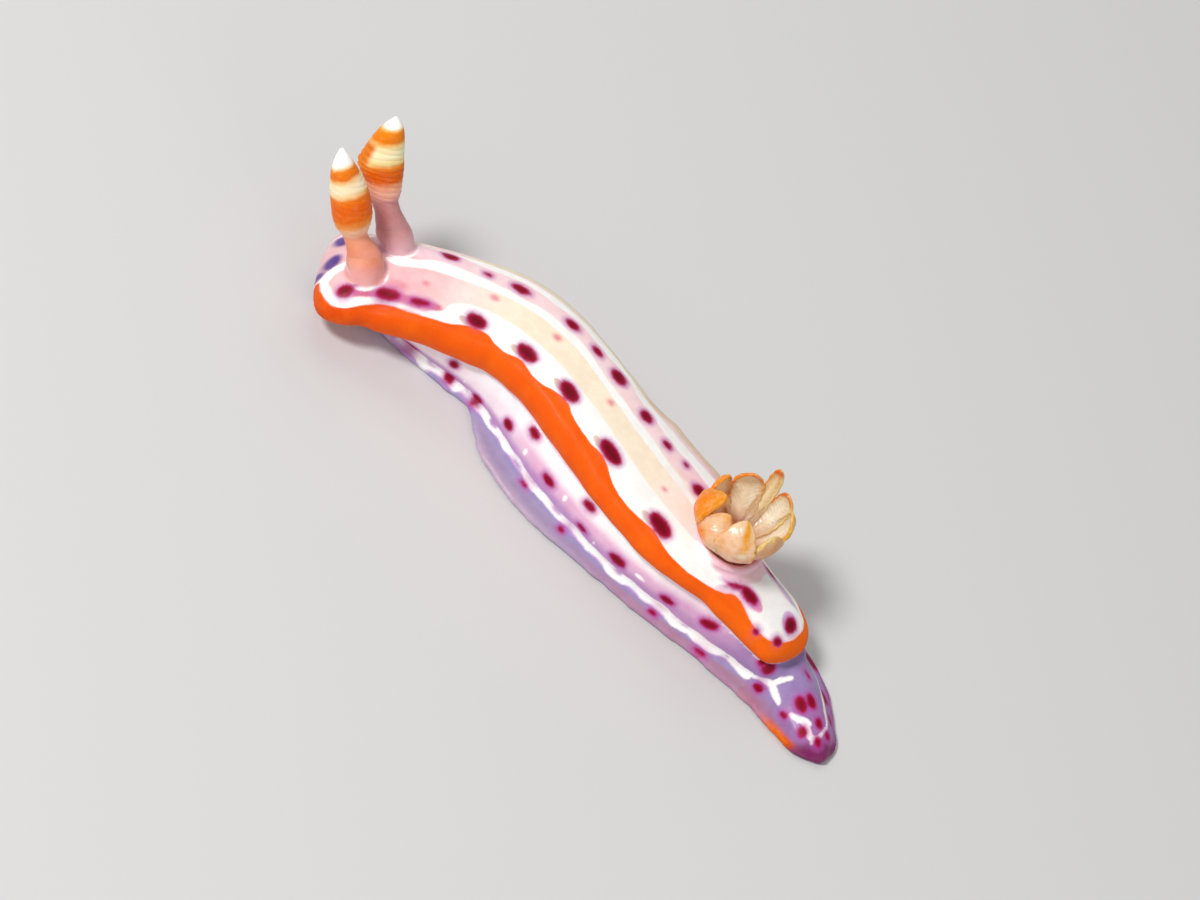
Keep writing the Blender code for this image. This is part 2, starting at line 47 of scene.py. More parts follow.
MANTLE_LENGTH = 25.2
MANTLE_HALF_WIDTH = ((0, 2.50), (1.4, 2.58), (2.8, 2.24), (4.8, 2.10), (7.3, 2.23),
                     (10.3, 2.26), (12.8, 2.32), (15.3, 2.53), (17.8, 2.70),
                     (19.6, 2.46), (21.3, 1.86), (22.8, 1.73), (25.2, 1.60))
MANTLE_RIGHT_EXTRA = ((0, -0.45), (1.2, -0.36), (2.2, -0.04), (3.2, 0.36), (4.0, 0.48), (5.0, 0.54), (6.3, 0.50), (7.8, 0.60),
                      (9.2, 0.52), (10.5, 0.40), (12.0, 0.33), (13.4, 0.32), (14.3, 0.42), (15.0, 0.52), (16.5, 0.42),
                      (18.0, 0.36), (19.6, 0.24), (22.0, -0.03), (23.4, 0.02), (24.3, -0.06), (25.2, -0.22))
RIM_HEIGHT = ((0, 1.25), (2.3, 1.75), (3.3, 1.98), (4.8, 2.42), (6.3, 2.70), (8.8, 3.00),
              (12.3, 3.12), (14.8, 2.98), (17.3, 2.80), (20.3, 2.55), (22.3, 2.20), (25.2, 1.65))
RIM_HALF_THICKNESS = ((0, 0.50), (2.1, 0.50), (3.3, 0.70), (5.3, 0.76), (9.3, 0.78),
                      (12.8, 0.76), (15.3, 0.62), (17.8, 0.52), (20.3, 0.42), (22.3, 0.48), (25.2, 0.42))
RIM_ROUNDING = ((0, 0.24), (1.3, 0.36), (3.3, 0.44), (9.3, 0.50), (13.3, 0.50), (18.3, 0.42), (25.2, 0.36))
BACK_HEIGHT = ((0, 1.95), (1.8, 2.93), (3.0, 3.26), (4.8, 3.58), (6.8, 3.78), (8.7, 4.02),
               (10.8, 4.17), (12.8, 4.15), (14.8, 3.94), (16.8, 3.71), (18.7, 3.58),
               (20.6, 3.58), (22.3, 3.18), (24.0, 2.62), (25.2, 2.10))
FRONT_ROUNDING, REAR_ROUNDING = 1.3, 1.9
OUTLINE_POWER = 2.6
EDGE_ROLL = 0.6
BODY_START = 2.8
SIDE_TOP_HALF = ((2.8, 1.30), (5.3, 1.55), (8.3, 1.82), (12.8, 1.95), (16.3, 2.18),
                 (18.8, 2.12), (21.3, 1.55), (24.6, 1.22))
SIDE_FOOT_HALF = ((2.8, 0.65), (3.7, 0.80), (5.3, 1.28), (7.3, 1.75), (9.3, 2.08), (13.0, 2.46),
                  (16.0, 2.46), (18.8, 2.30), (21.3, 1.93), (24.6, 1.45), (26.8, 1.00),
                  (28.3, 0.65), (29.2, 0.25))
SIDE_BULGE = 0.12
FOOT_LEFT = ((2.8, 0.75), (3.7, 0.90), (5.4, 1.48), (6.7, 1.90), (8.4, 2.12), (9.7, 2.90),
             (11.9, 3.56), (13.7, 3.60), (15.6, 3.28), (17.4, 3.04), (19.4, 2.86), (20.9, 2.62),
             (22.3, 2.42), (24.6, 2.40), (26.3, 2.20), (27.8, 1.70), (28.7, 1.20), (29.2, 0.45))
FOOT_RIGHT = ((2.8, 0.75), (3.7, 1.00), (5.4, 1.50), (8.3, 2.10), (11.3, 2.65), (14.3, 2.85),
              (18.3, 2.70), (22.3, 2.32), (24.6, 2.10), (26.3, 1.75), (27.8, 1.30), (28.7, 0.95), (29.2, 0.40))
TAIL_HEIGHT = ((20.0, 1.60), (23.0, 1.30), (24.6, 1.10), (25.8, 1.15), (27.3, 0.95), (28.7, 0.60), (29.2, 0.38))
FOOT_THICKNESS = 0.62
FOOT_LIP = 0.27
HEAD_START, HEAD_HALF_WIDTH, HEAD_CLEARANCE = 0.95, 1.22, 0.12

RHINO_SEAT = {"left": (1.52, -0.70), "right": (2.30, 1.30)}
RHINO_LEAN = {"left": (31.3, 173.2), "right": (31.7, 172.2)}
RHINO_BROAD = (30.2, 25.9)
# height along the lean, shift along the broad way, half width, half depth
RHINO_SHAPE = {
    "left": ((0.00, 0.00, 0.70, 0.70), (0.33, 0.00, 0.70, 0.70), (0.66, -0.01, 0.69, 0.67), (0.98, -0.08, 0.62, 0.60),
             (1.31, -0.21, 0.53, 0.53), (1.68, -0.34, 0.49, 0.49), (1.89, -0.38, 0.56, 0.55), (2.13, -0.41, 0.68, 0.66),
             (2.76, -0.42, 0.80, 0.77), (3.27, -0.45, 0.79, 0.77), (3.74, -0.51, 0.75, 0.73), (4.21, -0.57, 0.65, 0.64),
             (4.58, -0.63, 0.55, 0.55), (5.01, -0.67, 0.39, 0.39), (5.33, -0.69, 0.24, 0.24), (5.54, -0.70, 0.11, 0.11)),
    "right": ((0.00, 0.00, 0.70, 0.70), (0.33, -0.03, 0.70, 0.70), (0.75, -0.11, 0.66, 0.64), (1.17, -0.21, 0.59, 0.57),
              (1.59, -0.30, 0.52, 0.50), (2.01, -0.38, 0.53, 0.50), (2.33, -0.37, 0.63, 0.57), (3.08, -0.39, 0.76, 0.66),
              (3.83, -0.47, 0.91, 0.68), (4.43, -0.30, 0.77, 0.62), (5.08, -0.08, 0.57, 0.50), (5.41, 0.05, 0.39, 0.37),
              (5.61, 0.12, 0.22, 0.22), (5.72, 0.16, 0.10, 0.10)),
}
# fleshy sheath round a stalk's foot: height, radius, how far it has turned from the back to the lean
SHEATH = ((-0.34, 0.79, 0.0), (-0.12, 0.785, 0.0), (0.02, 0.78, 0.10), (0.14, 0.77, 0.3), (0.34, 0.76, 0.6), (0.58, 0.735, 0.9),
          (0.82, 0.665, 1.0), (1.00, 0.59, 1.0))
GILL_STATION, GILL_OFFSET = 20.12, 0.22
GILL_LEAN, GILL_SHIFT, GILL_FOOT = (9.0, 170.0), 0.09, 0.20
POCKET_RING, POCKET_ROLL = 1.38, 0.17


def table(pairs):
    """Monotone cubic curve through (station, value) pairs, for arrays."""
    x = np.array([p[0] for p in pairs], float)
    y = np.array([p[1] for p in pairs], float)
    h = np.diff(x)
    d = np.diff(y) / h
    m = np.zeros_like(y)
    for i in range(1, len(x) - 1):
        if d[i - 1] * d[i] > 0:
            w1, w2 = 2 * h[i] + h[i - 1], h[i] + 2 * h[i - 1]
            m[i] = (w1 + w2) / (w1 / d[i - 1] + w2 / d[i])
    m[0], m[-1] = d[0], d[-1]

    def value(s):
        s = np.clip(s, x[0], x[-1])
        i = np.clip(np.searchsorted(x, s, side="right") - 1, 0, len(h) - 1)
        t = (s - x[i]) / h[i]
        return ((2 * t**3 - 3 * t**2 + 1) * y[i] + (t**3 - 2 * t**2 + t) * h[i] * m[i]
                + (3 * t**2 - 2 * t**3) * y[i + 1] + (t**3 - t**2) * h[i] * m[i + 1])
    return value


class Path:
    """Natural cubic spline over the floor, read by its own length."""

    def __init__(self, points):
        p = np.array(points, float)
        n = len(p)
        k = np.concatenate([[0], np.cumsum(np.hypot(*np.diff(p, axis=0).T))])
        h = np.diff(k)
        a = np.zeros((n, n))
        b = np.zeros((n, 2))
        a[0, 0] = a[-1, -1] = 1
        for i in range(1, n - 1):
            a[i, i - 1], a[i, i], a[i, i + 1] = h[i - 1], 2 * (h[i - 1] + h[i]), h[i]
            b[i] = 6 * ((p[i + 1] - p[i]) / h[i] - (p[i] - p[i - 1]) / h[i - 1])
        m = np.linalg.solve(a, b)
        u = np.linspace(0, k[-1], 3001)
        i = np.clip(np.searchsorted(k, u, side="right") - 1, 0, n - 2)
        t, hh = (u - k[i])[:, None], h[i][:, None]
        xy = (p[i] + t * ((p[i + 1] - p[i]) / hh - hh * (2 * m[i] + m[i + 1]) / 6)
              + t**2 * m[i] / 2 + t**3 * (m[i + 1] - m[i]) / (6 * hh))
        s = np.concatenate([[0], np.cumsum(np.hypot(*np.diff(xy, axis=0).T))])
        d = np.gradient(xy, s, axis=0)
        d /= np.linalg.norm(d, axis=1)[:, None]
        self.length = float(s[-1])
        self.xy = np.concatenate([xy[:1] - 3 * d[:1], xy, xy[-1:] + 3 * d[-1:]]) - np.array(CENTRE)
        self.dir = np.concatenate([d[:1], d, d[-1:]])
        self.s = np.concatenate([[-3], s, [self.length + 3]])

    def frame(self, s):
        x, y = (np.interp(s, self.s, self.xy[:, j]) for j in (0, 1))
        tx, ty = (np.interp(s, self.s, self.dir[:, j]) for j in (0, 1))
        n = np.hypot(tx, ty)
        return x, y, tx / n, ty / n

    def point(self, s, y, z):
        px, py, tx, ty = self.frame(s)
        return np.stack([px - ty * y, py + tx * y, z + 0 * px], -1)

    def locate(self, p):
        """(station, offset to the right) of points in world mm."""
        s = np.interp(p[:, 0], self.xy[:, 0], self.s)
        for _ in range(12):
            px, py, tx, ty = self.frame(s)
            s = np.clip(s + 0.8 * ((p[:, 0] - px) * tx + (p[:, 1] - py) * ty), -2.9, self.length + 2.9)
        px, py, tx, ty = self.frame(s)
        return s, tx * (p[:, 1] - py) - ty * (p[:, 0] - px)


path = Path(CRAWL_PATH)
mantle_half, mantle_extra = table(MANTLE_HALF_WIDTH), table(MANTLE_RIGHT_EXTRA)
rim_height, rim_thick, rim_round = table(RIM_HEIGHT), table(RIM_HALF_THICKNESS), table(RIM_ROUNDING)
back_height = table(BACK_HEIGHT)
side_top, side_foot = table(SIDE_TOP_HALF), table(SIDE_FOOT_HALF)
foot_left, foot_right, tail_height = table(FOOT_LEFT), table(FOOT_RIGHT), table(TAIL_HEIGHT)


def closing(s):
    a = np.clip((FRONT_ROUNDING - s) / FRONT_ROUNDING, 0, 1)
    b = np.clip((s - (MANTLE_LENGTH - REAR_ROUNDING)) / REAR_ROUNDING, 0, 1)
    return a**OUTLINE_POWER + b**OUTLINE_POWER


def edge_roll(s):
    t = np.clip(np.minimum(s, MANTLE_LENGTH - s) / EDGE_ROLL, 0, 1)
    return np.sqrt(np.maximum(1 - (1 - t)**2, 0))


def mantle_widths(s):
    """Half widths of the mantle to the left and to the right."""
    k = np.maximum(1 - closing(s), 0)**(1 / OUTLINE_POWER)
    w = mantle_half(s) * k
    return w, w + mantle_extra(s) * k


def back_z(s, q):
    b, zc = rim_thick(s) * edge_roll(s), rim_height(s)
    d = (1 - closing(s)) * (1 - np.abs(q)**2.4)
    return zc + b + (back_height(s) - zc - rim_thick(s)) * (1 - (1 - d)**1.6)


def surface_z(s, y):
    """Height of the back at station s and offset y."""
    w, wr = mantle_widths(np.float64(s))
    a = min(float(rim_round(s)), 0.5 * float(w))
    flat = (float(wr) if y > 0 else float(w)) - a
    return float(back_z(np.float64(s), y / flat))


# --------------------------------------------------------- dense solid lofts
def mantle_ring(s):
    w, wr = (float(v) for v in mantle_widths(np.float64(s)))
    a = min(float(rim_round(s)), 0.5 * w)
    b, zc = float(rim_thick(s) * edge_roll(s)), float(rim_height(s))
    flat, right = w - a, wr - a
    # the margin of a living mantle isn't quite even
    ripple = 0.035 * math.sin(2.1 * s + 0.6) + 0.02 * math.sin(4.7 * s)
    q = np.linspace(-1, 1, 45)
    ring = [((right if v > 0 else flat) * v, float(back_z(np.float64(s), v))) for v in q]
    for i in range(1, 17):
        t = math.pi * (0.5 - i / 16)
        ring.append((right + (a + ripple * 0.6) * math.cos(t), zc + b * math.sin(t)))
    ring.append((0.0, zc - b))
    for i in range(16):
        t = math.pi * (-0.5 + i / 16)
        ring.append((-flat - (a + ripple) * math.cos(t), zc + b * math.sin(t)))
    return ring


def side_ring(s):
    zt, zb = float(rim_height(s)), FOOT_THICKNESS - 0.25
    top = float(rim_height(s) - rim_thick(s))
    wt, wb = float(side_top(s)), float(side_foot(s))
    half = []
    for i in range(19):
        z = zt + (zb - zt) * i / 18
        v = min(max((top - z) / max(top - FOOT_THICKNESS, 0.05), 0), 1)
        half.append((wt * (1 - v) + wb * v + SIDE_BULGE * math.sin(math.pi * v), z))
    return half + [(-y, z) for y, z in reversed(half)]


def rump_ring(s):
    """The sides sink from under the mantle's rear into the tail."""
    t = min(max((s - 24.45) / 1.6, 0), 1)
    t = t * t * (3 - 2 * t)
    w0 = (float(side_top(24.5)) + SIDE_BULGE) * (1 - t) + 0.40 * float(side_foot(s)) * t
    w1 = (float(side_foot(24.5)) + 0.5 * SIDE_BULGE) * (1 - t) + 0.9 * float(side_foot(s)) * t
    zt = 1.42 * (1 - t) + (float(tail_height(s)) - 0.10) * t
    half = [(0.75 * w0, zt), (w0, zt - 0.10)]
    for i in range(1, 12):
        v = i / 11
        half.append((w0 * (1 - v) + w1 * v + 0.05 * math.sin(math.pi * v), (zt - 0.10) * (1 - v) + 0.37 * v))
    return half + [(-y, z) for y, z in reversed(half)]


def foot_ring(s):
    wl, wr, wj = float(foot_left(s)), float(foot_right(s)), float(side_foot(s))
    k = 1.0
    if s < BODY_START + 1.2:
        t = (BODY_START + 1.2 - s) / 1.2
        k = math.sqrt(max(1 - t * t, 0.0))
    if s > path.length - 0.35:
        t = (s - path.length + 0.35) / 0.35
        k = math.sqrt(max(1 - t * t, 0.0))
    h = float(tail_height(s)) if s > 24.6 else FOOT_THICKNESS
    lip, shoulder = min(FOOT_LIP, 0.7 * h), min(FOOT_THICKNESS, 0.8 * h)
    ring = []
    for sign, w in ((1, wr), (-1, wl)):
        j = min(wj, w - 0.10)
        wave = 0.03 * math.sin(3.1 * s + sign) + 0.018 * math.sin(6.7 * s)
        side = [(0.0, 0.0), ((w - 0.12) * 0.5, 0.0), (w - 0.12, 0.0), (w - 0.04, 0.04), (w + wave, 0.12),
                (w + wave - 0.04, 0.21), (w - 0.13, lip), (w * 0.75 + j * 0.25 - 0.05, lip + 0.03),
                (w * 0.45 + j * 0.55, lip + 0.10 * (shoulder > 0.5)), (w * 0.15 + j * 0.85, 0.5 * (lip + shoulder)),
                (j, shoulder - 0.03)]
        if s > 24.6:
            side += [(0.86 * j, shoulder + 0.22 * (h - shoulder)), (0.66 * j, shoulder + 0.55 * (h - shoulder)),
                     (0.40 * j, shoulder + 0.86 * (h - shoulder)), (0.18 * j, shoulder + 0.98 * (h - shoulder))]
        else:
            side += [(0.86 * j, shoulder), (0.66 * j, shoulder), (0.40 * j, shoulder), (0.18 * j, shoulder)]
        ring.append([(sign * y * k, z) for y, z in side])
    return ring[0] + [(0.0, h if s > 24.6 else shoulder)] + ring[1][::-1][:-1]


def head_ring(s):
    t = min(max((HEAD_START + 1.0 - s) / 1.0, 0), 1)
    k = math.sqrt(max(1 - t * t, 0.0))
    top = float(rim_height(s)) - 0.2
    mid, half = 0.5 * (top + HEAD_CLEARANCE), 0.5 * (top - HEAD_CLEARANCE)
    narrow = 1 - 0.35 * min(max((s - 2.4) / 2.0, 0), 1)
    ring = []
    for i in range(28):
        a = math.pi * i / 14
        c, z = math.cos(a), math.sin(a)
        ring.append((HEAD_HALF_WIDTH * narrow * k * math.copysign(abs(c)**0.75, c),
                     mid + half * math.copysign(abs(z)**0.75, z) * (0.3 + 0.7 * k)))
    return ring


class Shells:
    """Closed shells gathered into one mesh, in mm."""

    def __init__(self):
        self.v, self.f, self.n = [], [], 0

    def loft(self, stations, ring):
        rows = [path.point(np.full(len(r), s), r[:, 0], r[:, 1]) for s in stations for r in [np.array(ring(s))]]
        self.grid(rows)

    def grid(self, rows):
        n, m = len(rows), len(rows[0])
        base = self.n
        self.v += [p for row in rows for p in row]
        for i in range(n - 1):
            for j in range(m):
                a, b = base + i * m + j, base + i * m + (j + 1) % m
                self.f.append((a, b, b + m, a + m))
        self.f.append(tuple(base + j for j in reversed(range(m))))
        self.f.append(tuple(base + (n - 1) * m + j for j in range(m)))
        self.n += n * m

    def torus(self, centre, axis, major, minor, squash=1.0):
        z = Vector(axis).normalized()
        x = z.orthogonal().normalized()
        y = z.cross(x)
        c = Vector(centre)
        base, nu, nv = self.n, 56, 14
        for i in range(nu):
            a = 2 * math.pi * i / nu
            r = x * math.cos(a) + y * math.sin(a)
            for j in range(nv):
                b = 2 * math.pi * j / nv
                self.v.append(np.array(c + r * (major + minor * math.cos(b)) + z * (minor * squash * math.sin(b))))
        for i in range(nu):
            for j in range(nv):
                a0, a1 = base + i * nv + j, base + i * nv + (j + 1) % nv
                b0, b1 = base + ((i + 1) % nu) * nv + j, base + ((i + 1) % nu) * nv + (j + 1) % nv
                self.f.append((a0, b0, b1, a1))
        self.n += nu * nv

    def turned(self, base, axis, profile, steps=24):
        z = Vector(axis).normalized()
        x = z.orthogonal().normalized()
        y = z.cross(x)
        c = Vector(base)
        rows = []
        for h, r in profile:
            rows.append([np.array(c + z * h + (x * math.cos(2 * math.pi * i / steps) + y * math.sin(2 * math.pi * i / steps)) * r)
                         for i in range(steps)])
        self.grid(rows)

    def mesh(self, name):
        me = bpy.data.meshes.new(name)
        me.from_pydata([tuple(p) for p in self.v], [], self.f)
        me.update()
        return me


def lean_axis(tilt, heading):
    t, h = math.radians(tilt), math.radians(heading)
    return Vector((math.sin(t) * math.cos(h), math.sin(t) * math.sin(h), math.cos(t)))


def seat_point(s, y):
    return Vector(path.point(np.float64(s), np.float64(y), surface_z(s, y)))


def back_normal(s, y):
    e = 0.05
    a = Vector(path.point(s + e, y, surface_z(s + e, y))) - Vector(path.point(s - e, y, surface_z(s - e, y)))
    b = Vector(path.point(s, y + e, surface_z(s, y + e))) - Vector(path.point(s, y - e, surface_z(s, y - e)))
    n = a.cross(b).normalized()
    return n if n.z > 0 else -n


def rhino_frame(side):
    """Foot on the back, lean, broad way and deep way of a rhinophore."""
    s, y = RHINO_SEAT[side]
    w = float(mantle_widths(np.float64(s))[0])
    a = min(float(rim_round(s)), 0.5 * w)
    foot = Vector(path.point(np.float64(s), np.float64(y), float(back_z(np.float64(s), y / (w - a)))))
    axis = lean_axis(*RHINO_LEAN[side])
    v = lean_axis(90 - RHINO_BROAD[1], RHINO_BROAD[0])
    broad = (v - axis * v.dot(axis)).normalized()
    return foot, axis, broad, axis.cross(broad)


rhino_curves = {side: [table([(row[0], row[k]) for row in rows]) for k in (1, 2, 3)] for side, rows in RHINO_SHAPE.items()}
crown = Vector(path.point(np.float64(GILL_STATION), np.float64(GILL_OFFSET), float(back_z(np.float64(GILL_STATION), 0.1))))


# -------------------------------------------------------------- the one skin
def build_skin():
    sh = Shells()
    ease = 1.4 * np.linspace(0, 1, 18)**2
    s0 = 0.003 + ease
    s1 = MANTLE_LENGTH - 0.003 - 2.0 * np.linspace(0, 1, 22)**2
    mid = np.arange(s0[-1] + 0.14, s1[-1] - 0.05, 0.14)
    sh.loft(np.concatenate([s0, mid, s1[::-1]]), mantle_ring)
    sh.loft(np.arange(BODY_START, 24.55, 0.15), side_ring)
    sh.loft(np.arange(24.2, 26.1, 0.1), rump_ring)
    tail_end = path.length - 0.003 - 0.35 * np.linspace(0, 1, 12)**2
    sh.loft(np.concatenate([BODY_START + 1.2 * np.linspace(0.03, 1, 12)**2, np.arange(4.1, tail_end[-1] - 0.05, 0.12), tail_end[::-1]]), foot_ring)
    # the sides run on over the root of the tail
    sh.loft(np.arange(22.0, 27.2, 0.15), tail_root_ring)
    sh.loft(np.concatenate([HEAD_START + 1.0 * np.linspace(0.02, 1, 10)**2, np.arange(2.1, 4.4, 0.15)]), head_ring)
    for sign in (-1, 1):
        s0_ = HEAD_START + 1.0 - math.sqrt(1 - (0.74 / 1.22)**2) - 0.30
        base = Vector(path.point(np.float64(s0_ + 0.35), np.float64(sign * 0.60), 0.52))
        px, py, tx, ty = path.frame(s0_)
        heading = math.degrees(math.atan2(-ty, -tx)) - sign * 42.0
        axis = lean_axis(96.0, heading)
        sh.turned(base, axis, [(0, 0.30), (0.45, 0.29), (0.85, 0.24), (0.98, 0.19), (1.06, 0.12), (1.10, 0.03)])
    for side in ("left", "right"):
        foot, axis, broad, deep = rhino_frame(side)
        rest = back_normal(*RHINO_SEAT[side])
        rows = []
        for h, r, turn in SHEATH:
            n = (rest * (1 - turn) + axis * turn).normalized()
            x = (broad - n * broad.dot(n)).normalized()
            z = n.cross(x)
            c = foot + axis * h + broad * float(rhino_curves[side][0](np.float64(h)))
            rows.append([np.array(c + (x * math.cos(2 * math.pi * i / 32) + z * math.sin(2 * math.pi * i / 32)) * r) for i in range(32)])
        sh.grid(rows)
    sh.torus(crown + Vector((0, 0, 0.03)), back_normal(GILL_STATION, GILL_OFFSET), POCKET_RING, POCKET_ROLL, 1.1)
    sh.turned(crown + Vector((0.05, 0, -0.4)), (0, 0, 1), [(0, 0.95), (0.42, 0.86), (0.60, 0.62), (0.70, 0.34), (0.78, 0.20), (1.02, 0.18), (1.10, 0.06)])
    raw = sh.mesh("body_skin_raw")
    ob = bpy.data.objects.new("body_skin_raw", raw)
    bpy.context.scene.collection.objects.link(ob)
    mod = ob.modifiers.new("union", "REMESH")
    mod.mode, mod.voxel_size, mod.adaptivity = "VOXEL", VOXEL, 0.0
    mod.use_smooth_shade = True
    dg = bpy.context.evaluated_depsgraph_get()
    me = bpy.data.meshes.new_from_object(ob.evaluated_get(dg), depsgraph=dg)
    bpy.data.objects.remove(ob)
    bpy.data.meshes.remove(raw)
    return me


def tail_root_ring(s):
    """A low ridge from under the mantle's rear that runs out along the tail."""
    k = min(max((27.2 - s) / 4.5, 0), 1)
    h = float(tail_height(s)) + 0.35 * k**1.5
    w = 0.9 * float(side_foot(s)) * (0.55 + 0.45 * k)
    ring = []
    for i in range(24):
        a = 2 * math.pi * i / 24
        ring.append((w * math.cos(a), 0.35 + (h - 0.35) * max(math.sin(a), -0.2)))
    return ring


def mesh_arrays(me):
    n = len(me.vertices)
    co = np.zeros(n * 3, np.float32)
    me.vertices.foreach_get("co", co)
    e = np.zeros(len(me.edges) * 2, np.int32)
    me.edges.foreach_get("vertices", e)
    return co.reshape(-1, 3).astype(float), e.reshape(-1, 2)


def neighbour_mean(co, e):
    acc = np.zeros_like(co)
    cnt = np.zeros(len(co))
    for k in range(co.shape[1]):
        acc[:, k] = np.bincount(e[:, 0], co[e[:, 1], k], len(co)) + np.bincount(e[:, 1], co[e[:, 0], k], len(co))
    cnt = np.bincount(e[:, 0], minlength=len(co)) + np.bincount(e[:, 1], minlength=len(co))
    return acc / np.maximum(cnt, 1)[:, None]


def smooth(co, e, rounds, weight=None, lam=0.55, mu=-0.57):
    """Smoothing that keeps the volume."""
    for _ in range(rounds):
        for step in (lam, mu):
            d = step * (neighbour_mean(co, e) - co)
            co = co + (d if weight is None else d * weight[:, None])
    return co


# ------------------------------------------------------------ pattern tools
def spline(points, closed=False, fine=6):
    """Rounded curve through given points."""
    p = np.array(points, float)
    n = len(p)
    out = []
    for i in range(n if closed else n - 1):
        p0 = p[(i - 1) % n] if closed or i > 0 else p[0]
        p1, p2 = p[i], p[(i + 1) % n]
        p3 = p[(i + 2) % n] if closed or i + 2 < n else p[-1]
        for k in range(fine):
            t = k / fine
            out.append(0.5 * (2 * p1 + (p2 - p0) * t + (2 * p0 - 5 * p1 + 4 * p2 - p3) * t * t
                              + (3 * p1 - p0 - 3 * p2 + p3) * t**3))
    if not closed:
        out.append(p[-1])
    return np.array(out)


def near_box(q, pts, pad):
    lo, hi = pts.min(0) - pad, pts.max(0) + pad
    return np.where(((q >= lo) & (q <= hi)).all(1))[0]


def segment_distance(q, a, b):
    best = np.full(len(q), 1e9)
    for p0, p1 in zip(a, b):
        d = p1 - p0
        t = np.clip(((q - p0) @ d) / max(d @ d, 1e-12), 0, 1)
        best = np.minimum(best, np.hypot(q[:, 0] - p0[0] - t * d[0], q[:, 1] - p0[1] - t * d[1]))
    return best


def patch(q, points, fine=4, pad=0.6, hard=False):
    """Signed distance, positive inside a closed rounded outline."""
    pts = np.array(points, float) if hard else spline(points, True, fine)
    out = np.full(len(q), -pad)
    i = near_box(q, pts, pad)
    v = q[i]
    a, b = pts, np.roll(pts, -1, axis=0)
    inside = np.zeros(len(v), bool)
    for p0, p1 in zip(a, b):
        cross = (p0[1] > v[:, 1]) != (p1[1] > v[:, 1])
        x = p0[0] + (v[:, 1] - p0[1]) * (p1[0] - p0[0]) / (p1[1] - p0[1] if p1[1] != p0[1] else 1e-9)
        inside ^= cross & (v[:, 0] < x)
    d = segment_distance(v, a, b)
    out[i] = np.where(inside, d, -d)
    return np.clip(out, -pad, None)


def line(q, points, half, fine=6, pad=0.6):
    """Signed distance, positive within a line of the given half width.  half is a number or one per point."""
    pts = spline(points, False, fine)
    if np.ndim(half):
        u = np.linspace(0, len(points) - 1, len(pts))
        hw = np.interp(u, range(len(points)), half)
    else:
        hw = np.full(len(pts), half)
    out = np.full(len(q), -pad)
    i = near_box(q, pts, pad + hw.max())
    v = q[i]
    best = np.full(len(v), -9.0)
    for k in range(len(pts) - 1):
        p0, d = pts[k], pts[k + 1] - pts[k]
        t = np.clip(((v - p0) @ d) / max(d @ d, 1e-12), 0, 1)
        w = hw[k] + t * (hw[k + 1] - hw[k])
        best = np.maximum(best, w - np.hypot(v[:, 0] - p0[0] - t * d[0], v[:, 1] - p0[1] - t * d[1]))
    out[i] = best
    return np.clip(out, -pad, None)


def blots(q, spots, pad=0.6):
    """Signed distance to a set of oval spots: (station, offset, half length, half width, turn in degrees)."""
    out = np.full(len(q), -pad)
    for s, y, a, b, turn in spots:
        i = np.where((np.abs(q[:, 0] - s) < a + pad) & (np.abs(q[:, 1] - y) < a + pad))[0]
        c, n = math.cos(math.radians(turn)), math.sin(math.radians(turn))
        dx, dy = q[i, 0] - s, q[i, 1] - y
        u, v = (dx * c + dy * n) / a, (-dx * n + dy * c) / b
        r = np.hypot(u, v)
        g = np.hypot(u / a, v / b)
        d = np.where(r > 1e-6, (1 - r) * r / np.maximum(g, 1e-6), min(a, b))
        out[i] = np.maximum(out[i], np.minimum(d, min(a, b)))
    return out


def ramp(x, lo, hi):
    t = np.clip((x - lo) / (hi - lo), 0, 1)
    return t * t * (3 - 2 * t)


def blend(a, b, t):
    return a * (1 - t[:, None]) + np.array(b) * t[:, None]


def rgb(h):
    """Linear colour of a hex name."""
    v = [int(h[i:i + 2], 16) / 255 for i in (0, 2, 4)]
    return tuple(c / 12.92 if c <= 0.04045 else ((c + 0.055) / 1.055)**2.4 for c in v)


VOXEL = 0.086

# ------------------------------------------------------- the slug's markings
# Drawn on the unrolled back: (station, offset), the left side has offset < 0.
EDGE_LEFT = ((0.35, -1.85), (0.6, -2.18), (0.9, -2.32), (1.3, -2.30), (1.7, -2.12), (2.0, -1.97), (2.5, -1.76),
             (3.0, -1.68), (3.6, -1.66), (4.4, -1.64), (5.2, -1.60), (5.7, -1.50), (6.3, -1.42), (6.9, -1.49),
             (7.4, -1.70), (7.9, -1.82), (8.4, -1.85), (8.8, -1.77), (9.2, -1.72), (9.7, -1.82), (10.2, -1.88),
             (10.8, -1.84), (11.3, -1.65), (11.8, -1.52), (12.2, -1.52), (12.6, -1.65), (13.1, -1.71),
             (13.9, -1.72), (14.3, -1.64), (14.8, -1.72), (15.3, -1.95), (15.9, -2.12), (16.6, -2.16),
             (17.3, -2.11), (17.8, -2.04), (18.3, -2.15), (19.0, -2.18), (19.8, -2.06), (20.4, -1.86),
             (20.9, -1.65), (21.4, -1.40), (21.8, -1.19), (22.2, -1.17), (22.8, -1.28), (23.4, -1.31),
             (23.9, -1.20), (24.3, -0.90), (24.58, -0.45), (24.66, 0.10), (24.62, 0.60), (24.42, 1.0), (24.05, 1.25))
